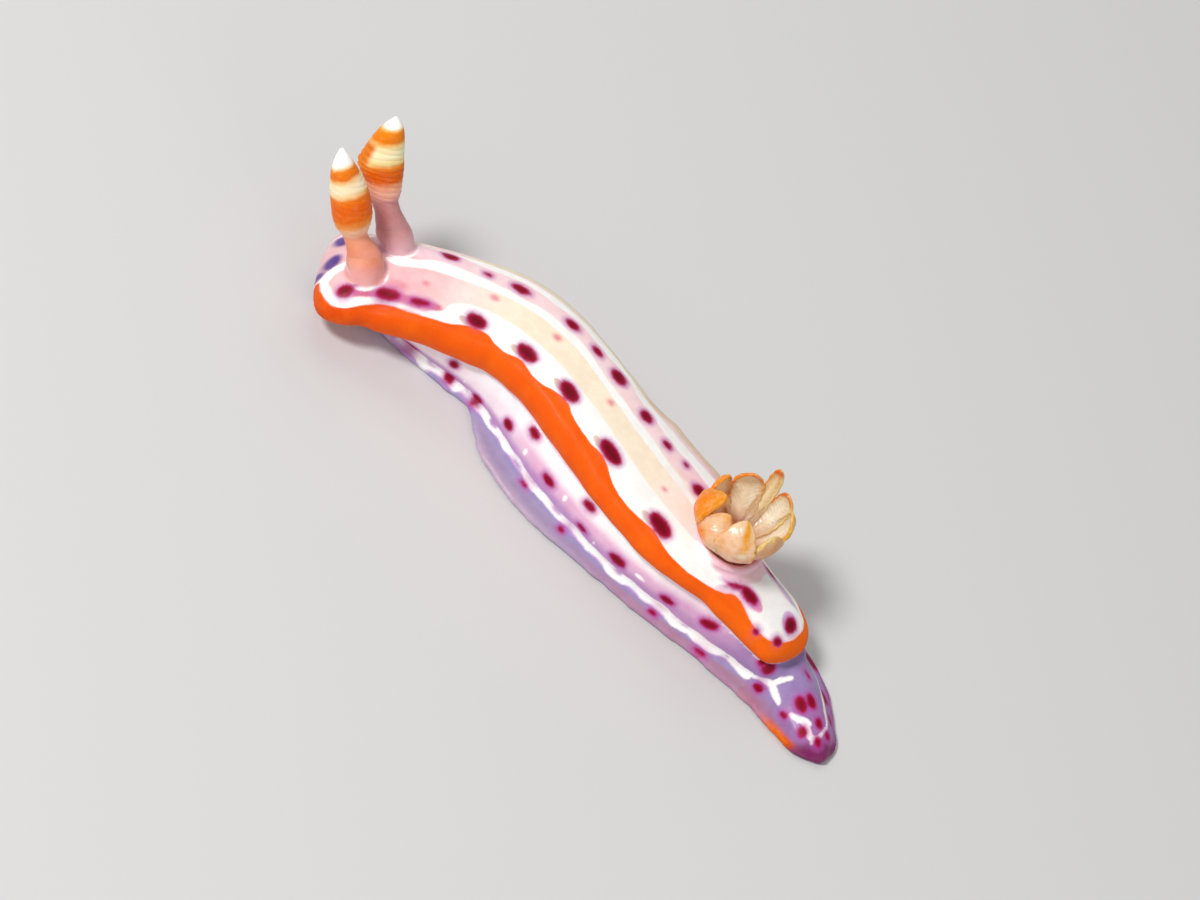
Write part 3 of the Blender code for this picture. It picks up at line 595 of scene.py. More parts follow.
WHITE_LEFT = ((4.3, -1.66), (4.45, -1.42), (4.9, -1.24), (5.05, -0.90), (5.4, -0.62), (6.0, -0.46), (6.6, -0.44),
              (7.3, -0.48), (8.0, -0.55), (9.0, -0.65), (10.0, -0.66), (11.0, -0.64), (12.0, -0.62), (13.0, -0.60),
              (14.0, -0.60), (15.0, -0.66), (16.0, -0.76), (17.0, -0.86), (18.0, -0.93), (19.0, -1.04),
              (20.0, -1.24), (20.5, -1.30), (21.0, -1.14), (21.5, -0.86), (21.9, -0.45), (22.1, 0.1), (22.1, 0.75),
              (22.5, 0.86), (23.1, 0.72), (23.6, 0.80), (24.0, 1.00), (24.4, 0.95), (24.55, 0.5), (24.55, 0.0),
              (24.45, -0.5), (24.1, -1.0), (23.5, -1.25), (22.8, -1.22), (22.2, -1.12), (21.8, -1.13), (21.3, -1.40),
              (20.7, -1.75), (20.0, -2.05), (19.0, -2.25), (17.5, -2.25), (16.0, -2.25), (15.0, -2.0), (13.0, -1.9),
              (11.0, -1.95), (9.0, -1.95), (7.8, -1.92), (6.6, -1.68), (5.5, -1.66))
REAR_LAVENDER = ((23.76, 0.44), (24.12, 0.54), (24.40, 0.30), (24.40, -0.12), (24.15, -0.36), (23.84, -0.24), (23.68, 0.10))
REAR_PINK = ((20.9, -1.22), (21.3, -1.12), (21.7, -0.86), (22.0, -0.58), (22.4, -0.48), (22.85, -0.62),
             (22.95, -0.85), (22.6, -1.02), (22.1, -1.05), (21.7, -1.06), (21.3, -1.20))
WHITE_RIGHT_INNER = ((2.1, 0.20), (2.5, 0.0), (3.1, 0.15), (3.6, 0.35), (4.2, 0.48), (5.0, 0.56), (6.0, 0.62),
                     (7.0, 0.66), (8.0, 0.64), (9.0, 0.60), (10.0, 0.56), (11.0, 0.54), (12.0, 0.50), (13.0, 0.47),
                     (14.0, 0.45), (15.0, 0.45), (16.0, 0.42), (17.0, 0.35), (18.0, 0.22), (18.6, 0.12),
                     (18.6, 0.45), (18.0, 0.50), (17.5, 0.58), (17.0, 0.72), (16.0, 0.80), (15.2, 0.92),
                     (14.6, 0.93), (14.0, 0.88), (13.0, 0.88), (12.4, 0.86), (12.0, 0.84), (11.0, 0.95), (10.0, 1.08),
                     (9.5, 1.00), (9.0, 1.08), (8.3, 1.10), (7.6, 1.00), (7.0, 1.10), (6.0, 1.16), (5.2, 1.20),
                     (4.4, 1.17), (3.8, 1.03), (3.3, 0.75), (2.8, 0.55), (2.3, 0.40))
WHITE_RIGHT_OUTER = ((3.0, 1.95), (4.6, 2.0), (5.4, 1.88), (6.0, 1.82), (7.0, 1.86), (7.6, 1.90), (8.4, 1.78), (9.0, 1.80), (9.6, 1.85),
                     (10.2, 1.76), (11.0, 1.75), (11.6, 1.85), (12.3, 1.90), (13.0, 1.73), (13.7, 1.72), (14.3, 1.78),
                     (15.0, 1.66), (16.0, 1.65), (17.0, 1.70), (17.7, 1.62), (18.4, 1.62), (19.2, 1.58), (20.0, 1.45),
                     (20.8, 1.16), (21.5, 1.02), (22.3, 1.24), (23.1, 1.26), (23.8, 1.10), (24.2, 0.90), (24.5, 0.95),
                     (24.2, 1.25), (23.6, 1.45), (22.8, 1.50), (22.0, 1.50), (21.2, 1.62), (20.4, 1.86), (19.4, 2.15),
                     (18.0, 2.28), (17.0, 2.26), (16.0, 2.25), (15.0, 2.20), (14.0, 2.15), (13.0, 2.12), (12.0, 2.15),
                     (11.0, 2.16), (10.0, 2.20), (8.0, 2.20), (6.5, 2.20), (5.4, 2.16), (4.6, 2.13), (3.0, 2.06))
SPOTS_LEFT = ((1.09, -1.72, 0.27, 0.23, 20), (2.72, -1.40, 0.46, 0.19, 4), (4.02, -1.26, 0.33, 0.11, 8),
              (6.28, -1.13, 0.42, 0.29, -14), (9.12, -1.36, 0.56, 0.27, -6), (11.72, -1.16, 0.50, 0.31, -6),
              (14.55, -1.28, 0.54, 0.31, -4), (17.82, -1.72, 0.56, 0.30, -8), (22.20, -0.78, 0.40, 0.21, 8),
              (21.55, -1.00, 0.30, 0.07, 35), (24.18, 0.08, 0.26, 0.36, 10), (24.25, -0.93, 0.20, 0.14, 40),
              (23.28, -1.38, 0.10, 0.09, 0))
SPOTS_RIGHT = ((2.15, 0.86, 0.26, 0.20, 10), (4.45, 1.72, 0.36, 0.22, 0), (6.15, 1.46, 0.14, 0.08, 0),
               (7.42, 1.46, 0.30, 0.20, 0), (9.48, 1.44, 0.28, 0.20, 0), (10.76, 1.40, 0.24, 0.16, 0),
               (12.06, 1.46, 0.38, 0.28, 0), (14.12, 1.40, 0.32, 0.24, 6), (15.60, 1.36, 0.22, 0.15, 0),
               (16.72, 1.48, 0.10, 0.08, 0), (17.85, 1.02, 0.30, 0.24, 0), (19.8, 1.72, 0.24, 0.12, -20),
               (22.2, 1.02, 0.24, 0.10, 0))
VIOLET_MARKS = ((0.32, -0.26, 0.20, 0.38, -14), (0.02, -0.82, 0.14, 0.18, 0), (0.42, 0.95, 0.20, 0.30, 0))
RED_DOTS = ((6.65, 0.36, 0.16, 0.13, 0), (9.50, 0.28, 0.15, 0.14, 0), (12.88, 0.22, 0.13, 0.11, 0),
            (3.9, -0.35, 0.10, 0.08, 0), (16.9, -0.35, 0.09, 0.07, 0))
# on the flank: (station, height, half length, half height, turn); on the foot the height runs below 0.6
SPOTS_FLANK = ((4.70, 0.80, 0.26, 0.13, 0), (6.45, 1.45, 0.22, 0.19, 0), (6.65, 0.62, 0.22, 0.11, 0),
               (8.55, 0.74, 0.34, 0.17, 0), (10.85, 1.25, 0.30, 0.20, 0), (12.00, 2.02, 0.28, 0.16, 0),
               (13.65, 1.28, 0.27, 0.17, -6), (15.40, 1.98, 0.26, 0.15, 0), (15.72, 0.98, 0.22, 0.10, 0),
               (17.48, 1.08, 0.36, 0.21, 0), (20.00, 1.14, 0.30, 0.15, 0), (21.80, 1.36, 0.32, 0.17, 14),
               (24.45, 1.40, 0.30, 0.20, 0))
MARKS_FOOT = ((13.10, 0.40, 0.12, 0.05, 0), (15.20, 0.36, 0.11, 0.07, 0), (19.90, 0.38, 0.15, 0.06, 0),
              (22.25, 0.28, 0.22, 0.08, 0))
DASHES = ((12.27, 1.22, 0.10, 0.17, 10), (14.53, 1.36, 0.09, 0.17, 12), (18.60, 1.20, 0.26, 0.09, 0),
          (7.35, 1.00, 0.06, 0.12, 0), (16.40, 0.86, 0.06, 0.09, 0))
SPOTS_TAIL = ((25.27, -1.57, 0.32, 0.14, 6), (27.00, -0.46, 0.34, 0.20, 0), (26.98, 0.01, 0.31, 0.18, 0), 
              (27.12, -1.13, 0.16, 0.09, 10), (25.91, 0.42, 0.16, 0.06, 0), (28.08, -0.67, 0.18, 0.13, 0),
              (27.89, 0.07, 0.21, 0.15, 0), (28.58, -0.16, 0.17, 0.11, 0), (28.38, 0.38, 0.15, 0.12, 0),
              (25.40, 1.66, 0.30, 0.13, 0), (26.70, 1.16, 0.24, 0.12, 0), (27.6, 0.92, 0.18, 0.10, 0))


def mirrored(spots, shift):
    return tuple((s + shift * math.sin(2.3 * s), h, a, b, t) for s, h, a, b, t in spots)


SHEATH_FOOT = {"left": np.array(rgb("EFA9A4")), "right": np.array(rgb("E3B2BA"))}
SHEATH_TOP = {"left": np.array(rgb("EE9A7C")), "right": np.array(rgb("CA8C8C"))}


def paint(me, co):
    """Marking fields at every vertex of the skin; co in mm."""
    s, y = path.locate(co)
    z = co[:, 2]
    q = np.stack([s, y], 1)
    w, wr = mantle_widths(np.clip(s, 0.001, MANTLE_LENGTH - 0.001))
    side_w = np.where(y > 0, wr, w)
    zc = rim_height(s)
    thick = rim_thick(s) * edge_roll(np.clip(s, 0, MANTLE_LENGTH))
    st = side_top(s)
    on = (s > -0.5) & (s < MANTLE_LENGTH + 0.3)
    upper = on & (z > zc - 0.02)
    lower = on & ~upper & (z > zc - thick - 0.10 + 0.30 * ramp(s, 24.1, 24.5)) & (np.abs(y) > st - 0.12 - 9 * (s < BODY_START + 0.3) - 9 * (s > 24.4))
    trunk = ~upper & ~lower
    wj = side_foot(s)
    out = np.abs(y) - wj
    h = np.where((z < 0.66) & (out > -0.05), 0.62 - 0.9 * out, z)
    tail = trunk & (s > 24.5)
    flank = trunk & (s > BODY_START + 0.2) & ~tail & (z > 0.02)

    # the orange margin
    er = [(v, float(mantle_widths(np.float64(v))[1]) - 0.14) for v in
          (23.5, 22.6, 21.6, 20.6, 19.6, 18.2, 16.2, 14.2, 12.2, 10.2, 8.2, 6.6, 5.4, 4.2, 3.2, 2.2, 1.5, 1.0, 0.6, 0.3)]
    front = [(0.13, 1.2), (0.09, 0.6), (0.08, 0.0), (0.09, -0.7), (0.17, -1.4)]
    orange = np.full(len(s), -0.6)
    dorsum = patch(q, list(EDGE_LEFT) + er + front, fine=3)
    orange[upper] = -dorsum[upper]
    reach = (zc - z) + (side_w - np.abs(y))
    orange[lower] = (0.80 * (thick + side_w - st) - reach)[lower]
    # the orange stops short of the middle of the head's front edge
    brow = ramp(y, -1.20, -0.85) * (1 - ramp(y, 0.95, 1.30)) * (1 - ramp(s, 0.60, 0.95))
    orange = np.where(upper | lower, orange - 1.4 * brow, orange)
    lw = np.where(y > 0, foot_right(s), foot_left(s))
    edge = lw - np.abs(y)

    # white
    white = np.maximum.reduce([
        patch(q, WHITE_LEFT), patch(q, WHITE_RIGHT_INNER), patch(q, WHITE_RIGHT_OUTER),
        line(q, ((4.6, -1.55), (3.9, -1.56), (3.2, -1.60), (2.6, -1.66), (2.2, -1.77), (1.8, -1.92), (1.4, -2.10),
                 (1.0, -2.14), (0.7, -2.02), (0.5, -1.82), (0.24, -1.42), (0.32, -1.0), (0.54, -0.68), (0.82, -0.42),
                 (0.98, 0.1), (1.05, 0.6), (1.2, 1.15), (1.5, 1.6), (2.0, 1.88), (3.0, 2.0)),
             (0.07, 0.05, 0.06, 0.08, 0.11, 0.15, 0.20, 0.18, 0.15, 0.16, 0.17, 0.18, 0.18, 0.15, 0.10, 0.08, 0.08, 0.09, 0.08, 0.06))])
    # a thin white line along the rim at the foot of each sheath, only on the side towards the camera: a painted
    # highlight
    sheath, sheath_col = np.zeros(len(s)), np.zeros((len(s), 3))
    for side in ("left", "right"):
        foot, axis, _, _ = rhino_frame(side)
        v = co - np.array(foot)
        high = v @ np.array(axis)
        rad = np.linalg.norm(v - high[:, None] * np.array(axis), axis=1)
        flat = np.hypot(v[:, 0], v[:, 1])
        near_foot = (np.abs(high) < 1.4) & (z > zc)
        mine = ramp(0.855 - rad, 0.0, 0.06) * near_foot * ramp(0.81 - flat + 0.6 * ramp(v[:, 2], 0.12, 0.30), 0.0, 0.06)
        rise = ramp(high, 0.05, 0.95)[:, None]
        sheath_col = np.where(mine[:, None] > sheath[:, None], SHEATH_FOOT[side] * (1 - rise) + SHEATH_TOP[side] * rise, sheath_col)
        sheath = np.maximum(sheath, mine)
        turn = np.abs((np.degrees(np.arctan2(v[:, 1], v[:, 0])) + 30 + 180) % 360 - 180)
        # painted highlight: white on the sheath's rim only within this turn, on the side towards the camera
        lip = 0.060 * ramp(66 - turn, 0, 34) - np.abs(flat - 0.865)
        white = np.maximum(white, np.where(near_foot & (turn < 66), lip, -0.6))
    white = np.minimum(white, 0.35 - 0.9 * sheath)
    orange = np.where(sheath > 0.3, -0.6, orange)
    cut = np.maximum(patch(q, REAR_LAVENDER), patch(q, REAR_PINK))
    white = np.minimum(white, -cut)
    white = np.where(upper, white, -0.6)
    hq = np.stack([s, h], 1)
    ridge = 0.60 + 0.05 * np.sin(1.7 * s) + 0.04 * np.sin(4.1 * s + 1.0)
    crest = 0.080 * ramp(s, 3.6, 5.0) + 0.025 * ramp(s, 17.0, 19.5) + 0.018 * np.sin(2.9 * s) + 0.012 * np.sin(7.3 * s) - np.abs(h - ridge)
    dashes = np.where(y < 0, blots(hq, DASHES), blots(hq, mirrored(DASHES, 0.3)))
    white = np.where(flank, np.maximum(crest, dashes), white)
    fork = np.maximum.reduce([
        line(q, ((24.2, -1.56), (24.9, -1.27), (25.38, -1.05), (25.64, -0.80), (25.78, -0.42)), (0.10, 0.13, 0.17, 0.14, 0.10)),
        line(q, ((25.35, -1.08), (25.73, -1.14), (26.16, -1.15), (26.58, -1.15)), (0.15, 0.12, 0.11, 0.06)),
        line(q, ((27.2, -0.92), (27.42, -0.78), (27.60, -0.62), (27.86, -0.36)), (0.05, 0.12, 0.15, 0.11)),
        line(q, ((27.66, -0.56), (28.0, -0.48), (28.36, -0.44), (28.44, -0.18), (28.30, 0.10), (28.08, 0.38)),
             (0.10, 0.12, 0.12, 0.08, 0.08, 0.06)),
        line(q, ((28.36, -0.44), (28.6, -0.40)), 0.06),
        line(q, ((24.2, 1.50), (25.0, 1.38), (25.41, 1.32), (25.75, 1.27), (26.11, 1.16), (26.77, 0.84), (27.3, 0.66), (27.75, 0.56), (28.05, 0.44)),
             (0.09, 0.08, 0.08, 0.09, 0.08, 0.08, 0.08, 0.07, 0.05))])
    fork = fork - 3 * ramp(z, 0.70, 0.84) * (1 - ramp(s, 25.15, 25.5))
    # the flank's white line climbs into the fork along the steep side of the tail's root
    link = line(np.stack([s, z], 1), ((24.3, 0.57), (24.63, 0.64), (24.86, 0.68), (25.04, 0.70), (25.21, 0.70), (25.48, 0.71)),
                (0.09, 0.09, 0.09, 0.10, 0.11, 0.11))
    fork = np.where(y < -0.9, np.maximum(fork, link), fork)
    white = np.where(tail, fork, white)

    # purple spots
    back_spots = blots(q, SPOTS_LEFT + SPOTS_RIGHT)
    flank_spots = np.where(y < 0, blots(hq, SPOTS_FLANK), blots(hq, mirrored(SPOTS_FLANK, 0.35)))
    foot_marks = np.where(y < 0, blots(hq, MARKS_FOOT), blots(hq, mirrored(MARKS_FOOT, 0.35)))
    spot = np.where(upper, back_spots, np.where(tail, blots(q, SPOTS_TAIL), np.where(flank, np.maximum(flank_spots, foot_marks), -0.6)))
    side_spot = 0.27 - np.sqrt(((s - 24.80) / 1.25)**2 + (y + 1.16)**2 + (z - 1.22)**2)
    spot = np.where(tail, np.maximum(spot, side_spot), spot)
    spot = np.minimum(np.where(lower | (z < 0.02), -0.6, spot), 0.4 - 1.0 * sheath)

    # the ground colour of the flesh
    n = len(s)
    col = np.tile(np.array(rgb("FBEAE2")), (n, 1))
    cream = blend(col, rgb("FDEAD2"), ramp(s, 5.0, 8.0) * (1 - ramp(s, 15.5, 18.5)))
    cream = blend(cream, rgb("F2C2C4"), 1 - ramp(s, 3.6, 6.4))
    cream = blend(cream, rgb("DE8F9C"), ramp(0.75 - np.hypot((s - 2.9) / 1.0, (y + 0.95) / 0.55), 0.0, 0.6) * 0.8)
    cream = blend(cream, rgb("FADCE0"), ramp(s, 18.0, 20.5))
    strip = np.array(rgb("F8D2DA")) * (1 - ramp(s, 4.4, 6.0))[:, None] + np.array(rgb("FADADC")) * ramp(s, 4.4, 6.0)[:, None]
    strip = blend(strip, rgb("F5C6D4"), ramp(s, 16.5, 18.5))
    strip = blend(strip, rgb("C6B0D0"), ramp(s, 21.0, 22.5))
    t = ramp(y, 0.72, 0.95) * (s < 24.5)
    top = cream * (1 - t[:, None]) + strip * t[:, None]
    margin = np.array(rgb("EFD5CC")) * (1 - ramp(s, 4.8, 6.2))[:, None] + np.array(rgb("E2D6BE")) * ramp(s, 4.8, 6.2)[:, None]
    margin = blend(margin, rgb("E2C8AE"), ramp(s, 12.0, 14.0))
    t = ramp(y - (wr - 0.62), 0.0, 0.12) * ramp(s, 0.8, 2.0)
    top = top * (1 - t[:, None]) + margin * t[:, None]
    rose = ramp(0.24 - segment_distance(q, np.array(((1.5, -1.72), (2.7, -1.42), (3.6, -1.32))), np.array(((2.7, -1.42), (3.6, -1.32), (4.7, -1.22)))), 0, 0.18)
    top = blend(top, rgb("CB5C86"), rose * 0.85)
    top = blend(top, rgb("E0C2E4"), ramp(patch(q, REAR_LAVENDER), -0.08, 0.05))
    top = blend(top, rgb("EAA0BE"), ramp(patch(q, REAR_PINK), -0.08, 0.05))
    dc = np.hypot(co[:, 0] - crown.x, co[:, 1] - crown.y)
    top = blend(top, rgb("F3C0CC"), ramp(1.72 - dc, 0.0, 0.30))
    top = blend(top, rgb("C0587A"), ramp(1.26 - dc, 0.0, 0.12))
    top = blend(top, rgb("D87A68"), ramp(1.05 - dc, 0.0, 0.25))
    top = blend(top, rgb("F2C8B4"), ramp(0.30 - dc, 0.0, 0.15))
    top = top * (1 - sheath[:, None]) + sheath_col * sheath[:, None]
    top = blend(top, rgb("E8708A"), ramp(blots(q, RED_DOTS), -0.16, 0.10) * 0.75)
    trail = tuple((a - 0.95 * c, b - 0.55 * d, 0.32, 0.12, e) for a, b, c, d, e in SPOTS_LEFT[3:8])
    top = blend(top, rgb("B89C7C"), ramp(blots(q, trail), -0.14, 0.06) * 0.55)
    white = np.where(upper, white - 0.9 * ramp(blots(q, trail), -0.08, 0.04), white)
    top = blend(top, rgb("DDB9BC"), brow * 0.7 * ramp(0.45 - s + 0.35 * (y + 0.9), -0.2, 0.2))
    top = blend(top, rgb("4A2E88"), ramp(blots(q, VIOLET_MARKS), -0.14, 0.08) * 0.92)
    col = np.where(upper[:, None], top, col)
    under = np.tile(np.array(rgb("F2D9E0")), (n, 1))
    under = blend(under, rgb("A8708E"), brow)
    under = blend(under, rgb("4A2E78"), ramp(blots(q, VIOLET_MARKS), -0.14, 0.08) * 0.92)
    col = np.where(lower[:, None], under, col)
    side = np.tile(np.array(rgb("FFF4F5")), (n, 1))
    side = blend(side, rgb("E9BBD6"), 1 - ramp(h, 1.40, 1.85))
    side = blend(side, rgb("C296C6"), 1 - ramp(h, 0.78, 1.30))
    bright = (1 - ramp(s, 10.0, 13.0)) * ramp(h, 0.8, 1.2)
    side = blend(side, rgb("FBEFF3"), bright * 0.8)
    # towards the rear the flank turns a darker lavender: partly its own colour, partly painted shade
    side = blend(side, rgb("C292BC"), ramp(s, 18.0, 21.0) * (0.35 + 0.4 * (1 - ramp(h, 0.9, 1.7))))
    side = blend(side, rgb("A080B0"), ramp(s, 21.5, 23.8) * 0.9)
    halo_zone = 1 - ramp(h, 0.46, 0.56)
    footc = np.tile(np.array(rgb("A598B8")), (n, 1))
    footc = blend(footc, rgb("BDA6BA"), ramp(-h, -0.1, 0.5))
    # reddish towards the rear: partly the foot's own colour, partly painted red light from the ground seen through the
    # foot
    footc = blend(footc, rgb("B0849C"), ramp(s, 14.0, 20.0) * 0.85)
    footc = blend(footc, rgb("9A92C0"), ramp(h, 0.28, 0.50))
    side = side * (1 - halo_zone[:, None]) + footc * halo_zone[:, None]
    col = np.where(flank[:, None], side, col)
    # the tail's lavender, darker towards the tip: partly its own colour, partly painted shade
    tcol = np.tile(np.array(rgb("9C84B4")), (n, 1))
    tcol = blend(tcol, rgb("9C74A4"), ramp(s, 26.0, 27.5))
    tcol = blend(tcol, rgb("B27C92"), ramp(0.95 - edge, 0.0, 0.8) * (y < 0) * ramp(27.6 - s, 0.0, 1.5))
    tcol = blend(tcol, rgb("E06A2A"), ramp(0.46 - edge, 0.0, 0.34) * (y < 0) * ramp(s, 26.3, 27.7) * ramp(29.1 - s, 0.1, 0.6))
    tcol = blend(tcol, rgb("9A3C88"), ramp(0.40 - edge, 0.0, 0.35) * (y > 0) * ramp(s, 24.8, 26.0))
    tcol = blend(tcol, rgb("7E2E60"), ramp(s, 28.25, 28.85))
    col = np.where(tail[:, None], tcol, col)
    head = trunk & (s <= BODY_START + 0.2)
    col = np.where(head[:, None], np.array(rgb("EFC0C6")), col)
    col = np.where(((z < 0.02) & trunk)[:, None], np.array(rgb("CDBBD2")), col)

    for name, val in (("orange", orange), ("white", white), ("spot", spot)):
        a = me.attributes.new(name, "FLOAT", "POINT")
        a.data.foreach_set("value", np.clip(val, -0.6, 0.6).astype(np.float32))
    a = me.attributes.new("flesh", "FLOAT_COLOR", "POINT")
    a.data.foreach_set("color", np.concatenate([np.clip(col, 0, 1), np.ones((n, 1))], 1).astype(np.float32).ravel())
    kind = np.where(upper, 1.0, np.where(lower, 0.8, 0.0))
    a = me.attributes.new("upper", "FLOAT", "POINT")
    a.data.foreach_set("value", kind.astype(np.float32))


# ---------------------------------------------------------------- materials
class Nodes:
    def __init__(self, name):
        self.mat = bpy.data.materials.new(name)
        self.mat.use_nodes = True
        self.t = self.mat.node_tree
        self.bsdf = self.t.nodes["Principled BSDF"]

    def add(self, kind, **props):
        n = self.t.nodes.new(kind)
        for k, v in props.items():
            setattr(n, k, v)
        return n

    def link(self, a, b):
        self.t.links.new(a, b)

    def attr(self, name, colour=False):
        n = self.add("ShaderNodeAttribute", attribute_name=name)
        return n.outputs["Color"] if colour else n.outputs["Fac"]

    def noise(self, scale, detail=3.0, rough=0.55, stretch=None):
        n = self.add("ShaderNodeTexNoise")
        n.inputs["Scale"].default_value = scale
        n.inputs["Detail"].default_value = detail
        n.inputs["Roughness"].default_value = rough
        co = self.add("ShaderNodeTexCoord").outputs["Object"]
        if stretch:
            m = self.add("ShaderNodeMapping")
            m.inputs["Scale"].default_value = stretch
            self.link(co, m.inputs["Vector"])
            co = m.outputs["Vector"]
        self.link(co, n.inputs["Vector"])
        return n.outputs["Fac"]

    def math(self, op, a, b=None, c=None):
        n = self.add("ShaderNodeMath", operation=op)
        for i, v in enumerate((a, b, c)):
            if v is None:
                continue
            if isinstance(v, (int, float)):
                n.inputs[i].default_value = v
            else:
                self.link(v, n.inputs[i])
        return n.outputs[0]

    def step(self, v, lo, hi, a=0.0, b=1.0):
        n = self.add("ShaderNodeMapRange", interpolation_type="SMOOTHSTEP")
        for k, x in (("From Min", lo), ("From Max", hi), ("To Min", a), ("To Max", b)):
            n.inputs[k].default_value = x
        self.link(v, n.inputs["Value"])
        return n.outputs["Result"]

    def mix(self, fac, a, b):
        n = self.add("ShaderNodeMix", data_type="RGBA")
        for v, i in ((fac, 0), (a, 6), (b, 7)):
            if isinstance(v, tuple):
                n.inputs[i].default_value = (*v[:3], 1)
            elif isinstance(v, (int, float)):
                n.inputs[i].default_value = v
            else:
                self.link(v, n.inputs[i])
        return n.outputs[2]

    def ramp(self, v, stops, mode="EASE"):
        n = self.add("ShaderNodeValToRGB")
        n.color_ramp.interpolation = mode
        e = n.color_ramp.elements
        while len(e) < len(stops):
            e.new(0.5)
        for k, (p, c) in zip(e, stops):
            k.position, k.color = p, (*c[:3], c[3] if len(c) > 3 else 1)
        self.link(v, n.inputs["Fac"])
        return n.outputs["Color"], n.outputs["Alpha"]

    def bump(self, height, distance, strength=1.0, normal=None):
        n = self.add("ShaderNodeBump")
        n.inputs["Distance"].default_value = distance
        n.inputs["Strength"].default_value = strength
        self.link(height, n.inputs["Height"])
        if normal is not None:
            self.link(normal, n.inputs["Normal"])
        return n.outputs["Normal"]

    def wet(self, roughness=0.28, sss=0.3, radius=(1.0, 0.5, 0.45), scale=0.0005, coat=0.6, coat_rough=0.12, ior=1.38):
        p = self.bsdf.inputs
        p["Roughness"].default_value = roughness
        p["IOR"].default_value = ior
        p["Subsurface Weight"].default_value = sss
        p["Subsurface Radius"].default_value = radius
        p["Subsurface Scale"].default_value = scale
        p["Coat Weight"].default_value = coat
        p["Coat Roughness"].default_value = coat_rough
        return self


def skin_material():
    m = Nodes("slug_skin").wet(roughness=0.40, coat=0.14, coat_rough=0.16)
    m.bsdf.inputs["Specular IOR Level"].default_value = 0.2
    wob = m.math("MULTIPLY", m.math("SUBTRACT", m.noise(2600, 4), 0.5), 0.16)
    fine = m.math("MULTIPLY", m.math("SUBTRACT", m.noise(9000, 3), 0.5), 0.05)
    wobble = m.math("ADD", wob, fine)
    mottle = m.noise(1500, 5, 0.6)
    speck = m.noise(11000, 2, 0.5)
    base = m.attr("flesh", True)
    hsv = m.add("ShaderNodeHueSaturation")
    m.link(base, hsv.inputs["Color"])
    m.link(m.step(mottle, 0.3, 0.7, 0.965, 1.03), hsv.inputs["Value"])
    m.link(m.step(mottle, 0.3, 0.7, 1.08, 0.95), hsv.inputs["Saturation"])
    col = hsv.outputs["Color"]
    # opaque white
    wf = m.step(m.math("ADD", m.attr("white"), m.math("MULTIPLY", wobble, 0.7)), -0.045, 0.055)
    col = m.mix(wf, col, m.mix(m.step(mottle, 0.35, 0.7), rgb("FFFDF9"), rgb("FBF4F0")))
    # orange
    of = m.step(m.math("ADD", m.attr("orange"), m.math("MULTIPLY", wobble, 0.5)), -0.03, 0.04)
    along = m.add("ShaderNodeSeparateXYZ")
    m.link(m.add("ShaderNodeTexCoord").outputs["Object"], along.inputs[0])
    orange = m.mix(m.step(along.outputs["X"], -0.0136, -0.0085), rgb("CE3A00"), rgb("EE5A00"))
    orange = m.mix(m.step(along.outputs["X"], 0.0045, 0.0100), orange, rgb("F26600"))
    orange = m.mix(m.math("MULTIPLY", m.step(m.noise(900, 4), 0.35, 0.7), 0.6), orange, rgb("F56A04"))
    orange = m.mix(m.step(speck, 0.55, 0.75, 0.0, 0.25), orange, rgb("E04C04"))
    col = m.mix(of, col, orange)
    # spots with their halo
    sp = m.math("ADD", m.attr("spot"), wobble)
    u = m.math("ADD", m.math("MULTIPLY", sp, 1.25), 0.5)
    halo, alpha = m.ramp(u, ((0.0, (*rgb("B070C0"), 0.0)), (0.16, (*rgb("C47CC4"), 0.03)), (0.36, (*rgb("B64FA6"), 0.45)),
                             (0.50, (*rgb("A80E5C"), 0.94)), (0.58, (*rgb("96042C"), 1.0)), (0.78, (*rgb("720018"), 1.0))), "LINEAR")
    soft = m.math("MULTIPLY", of, m.step(u, 0.34, 0.50, 1.0, 0.0))
    alpha = m.math("MULTIPLY", alpha, m.math("SUBTRACT", 1.0, m.math("MULTIPLY", soft, 0.85)))
    col = m.mix(alpha, col, halo)
    dull = m.math("MAXIMUM", of, alpha)
    m.link(m.step(dull, 0.0, 1.0, 0.40, 0.52), m.bsdf.inputs["Roughness"])
    m.link(m.step(dull, 0.0, 1.0, 0.14, 0.02), m.bsdf.inputs["Coat Weight"])
    m.link(col, m.bsdf.inputs["Base Color"])
    n1 = m.bump(m.noise(3200, 4, 0.6), 0.00006, 0.35)
    n2 = m.bump(m.noise(14000, 2, 0.5), 0.000012, 0.5, n1)
    m.link(n2, m.bsdf.inputs["Normal"])
    return m.mat


# --------------------------------------------------------------- the pieces
def piece(name, me, mat, slot, *nodes):
    me.transform(Matrix.Scale(MM, 4))
    me.name = name
    me.materials.clear()
    me.materials.append(mat)
    me.shade_smooth()
    ob = bpy.data.objects.new(name, me)
    bpy.context.scene.collection.objects.link(ob)
    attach(ob, "root")
    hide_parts(*nodes)
    return ob


def dress_skin():
    me = build_skin()
    co, e = mesh_arrays(me)
    s, y = path.locate(co)
    # creases where flesh meets flesh are soft; the back stays true
    crease = np.full(len(co), 0.45)
    low = co[:, 2] < rim_height(s) - 0.1
    crease[low] = 1.0
    co = smooth(co, e, 6, crease)
    co = smooth(co, e, 3)
    whole = co.copy()
    d = np.hypot(co[:, 0] - crown.x, co[:, 1] - crown.y)
    top = co[:, 2] > rim_height(s)
    co[:, 2] -= np.where(top, 0.22 * ramp(1.24 - d, 0.0, 0.25), 0)
    co[:, 2] = np.maximum(co[:, 2], 0.0)
    me.vertices.foreach_set("co", co.astype(np.float32).ravel())
    me.update()
    paint(me, whole)
    names = [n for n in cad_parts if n.startswith(("mantle", "side", "foot", "tail", "head", "oral", "gill_pocket"))]
    return piece("slug_skin", me, skin_material(), "mantle_flesh", *names)


skin = dress_skin()

# --------------------------------------------------------------- rhinophores
RHINO_TIP = {"left": 5.60, "right": 5.78}
PLATE_PITCH = 0.245


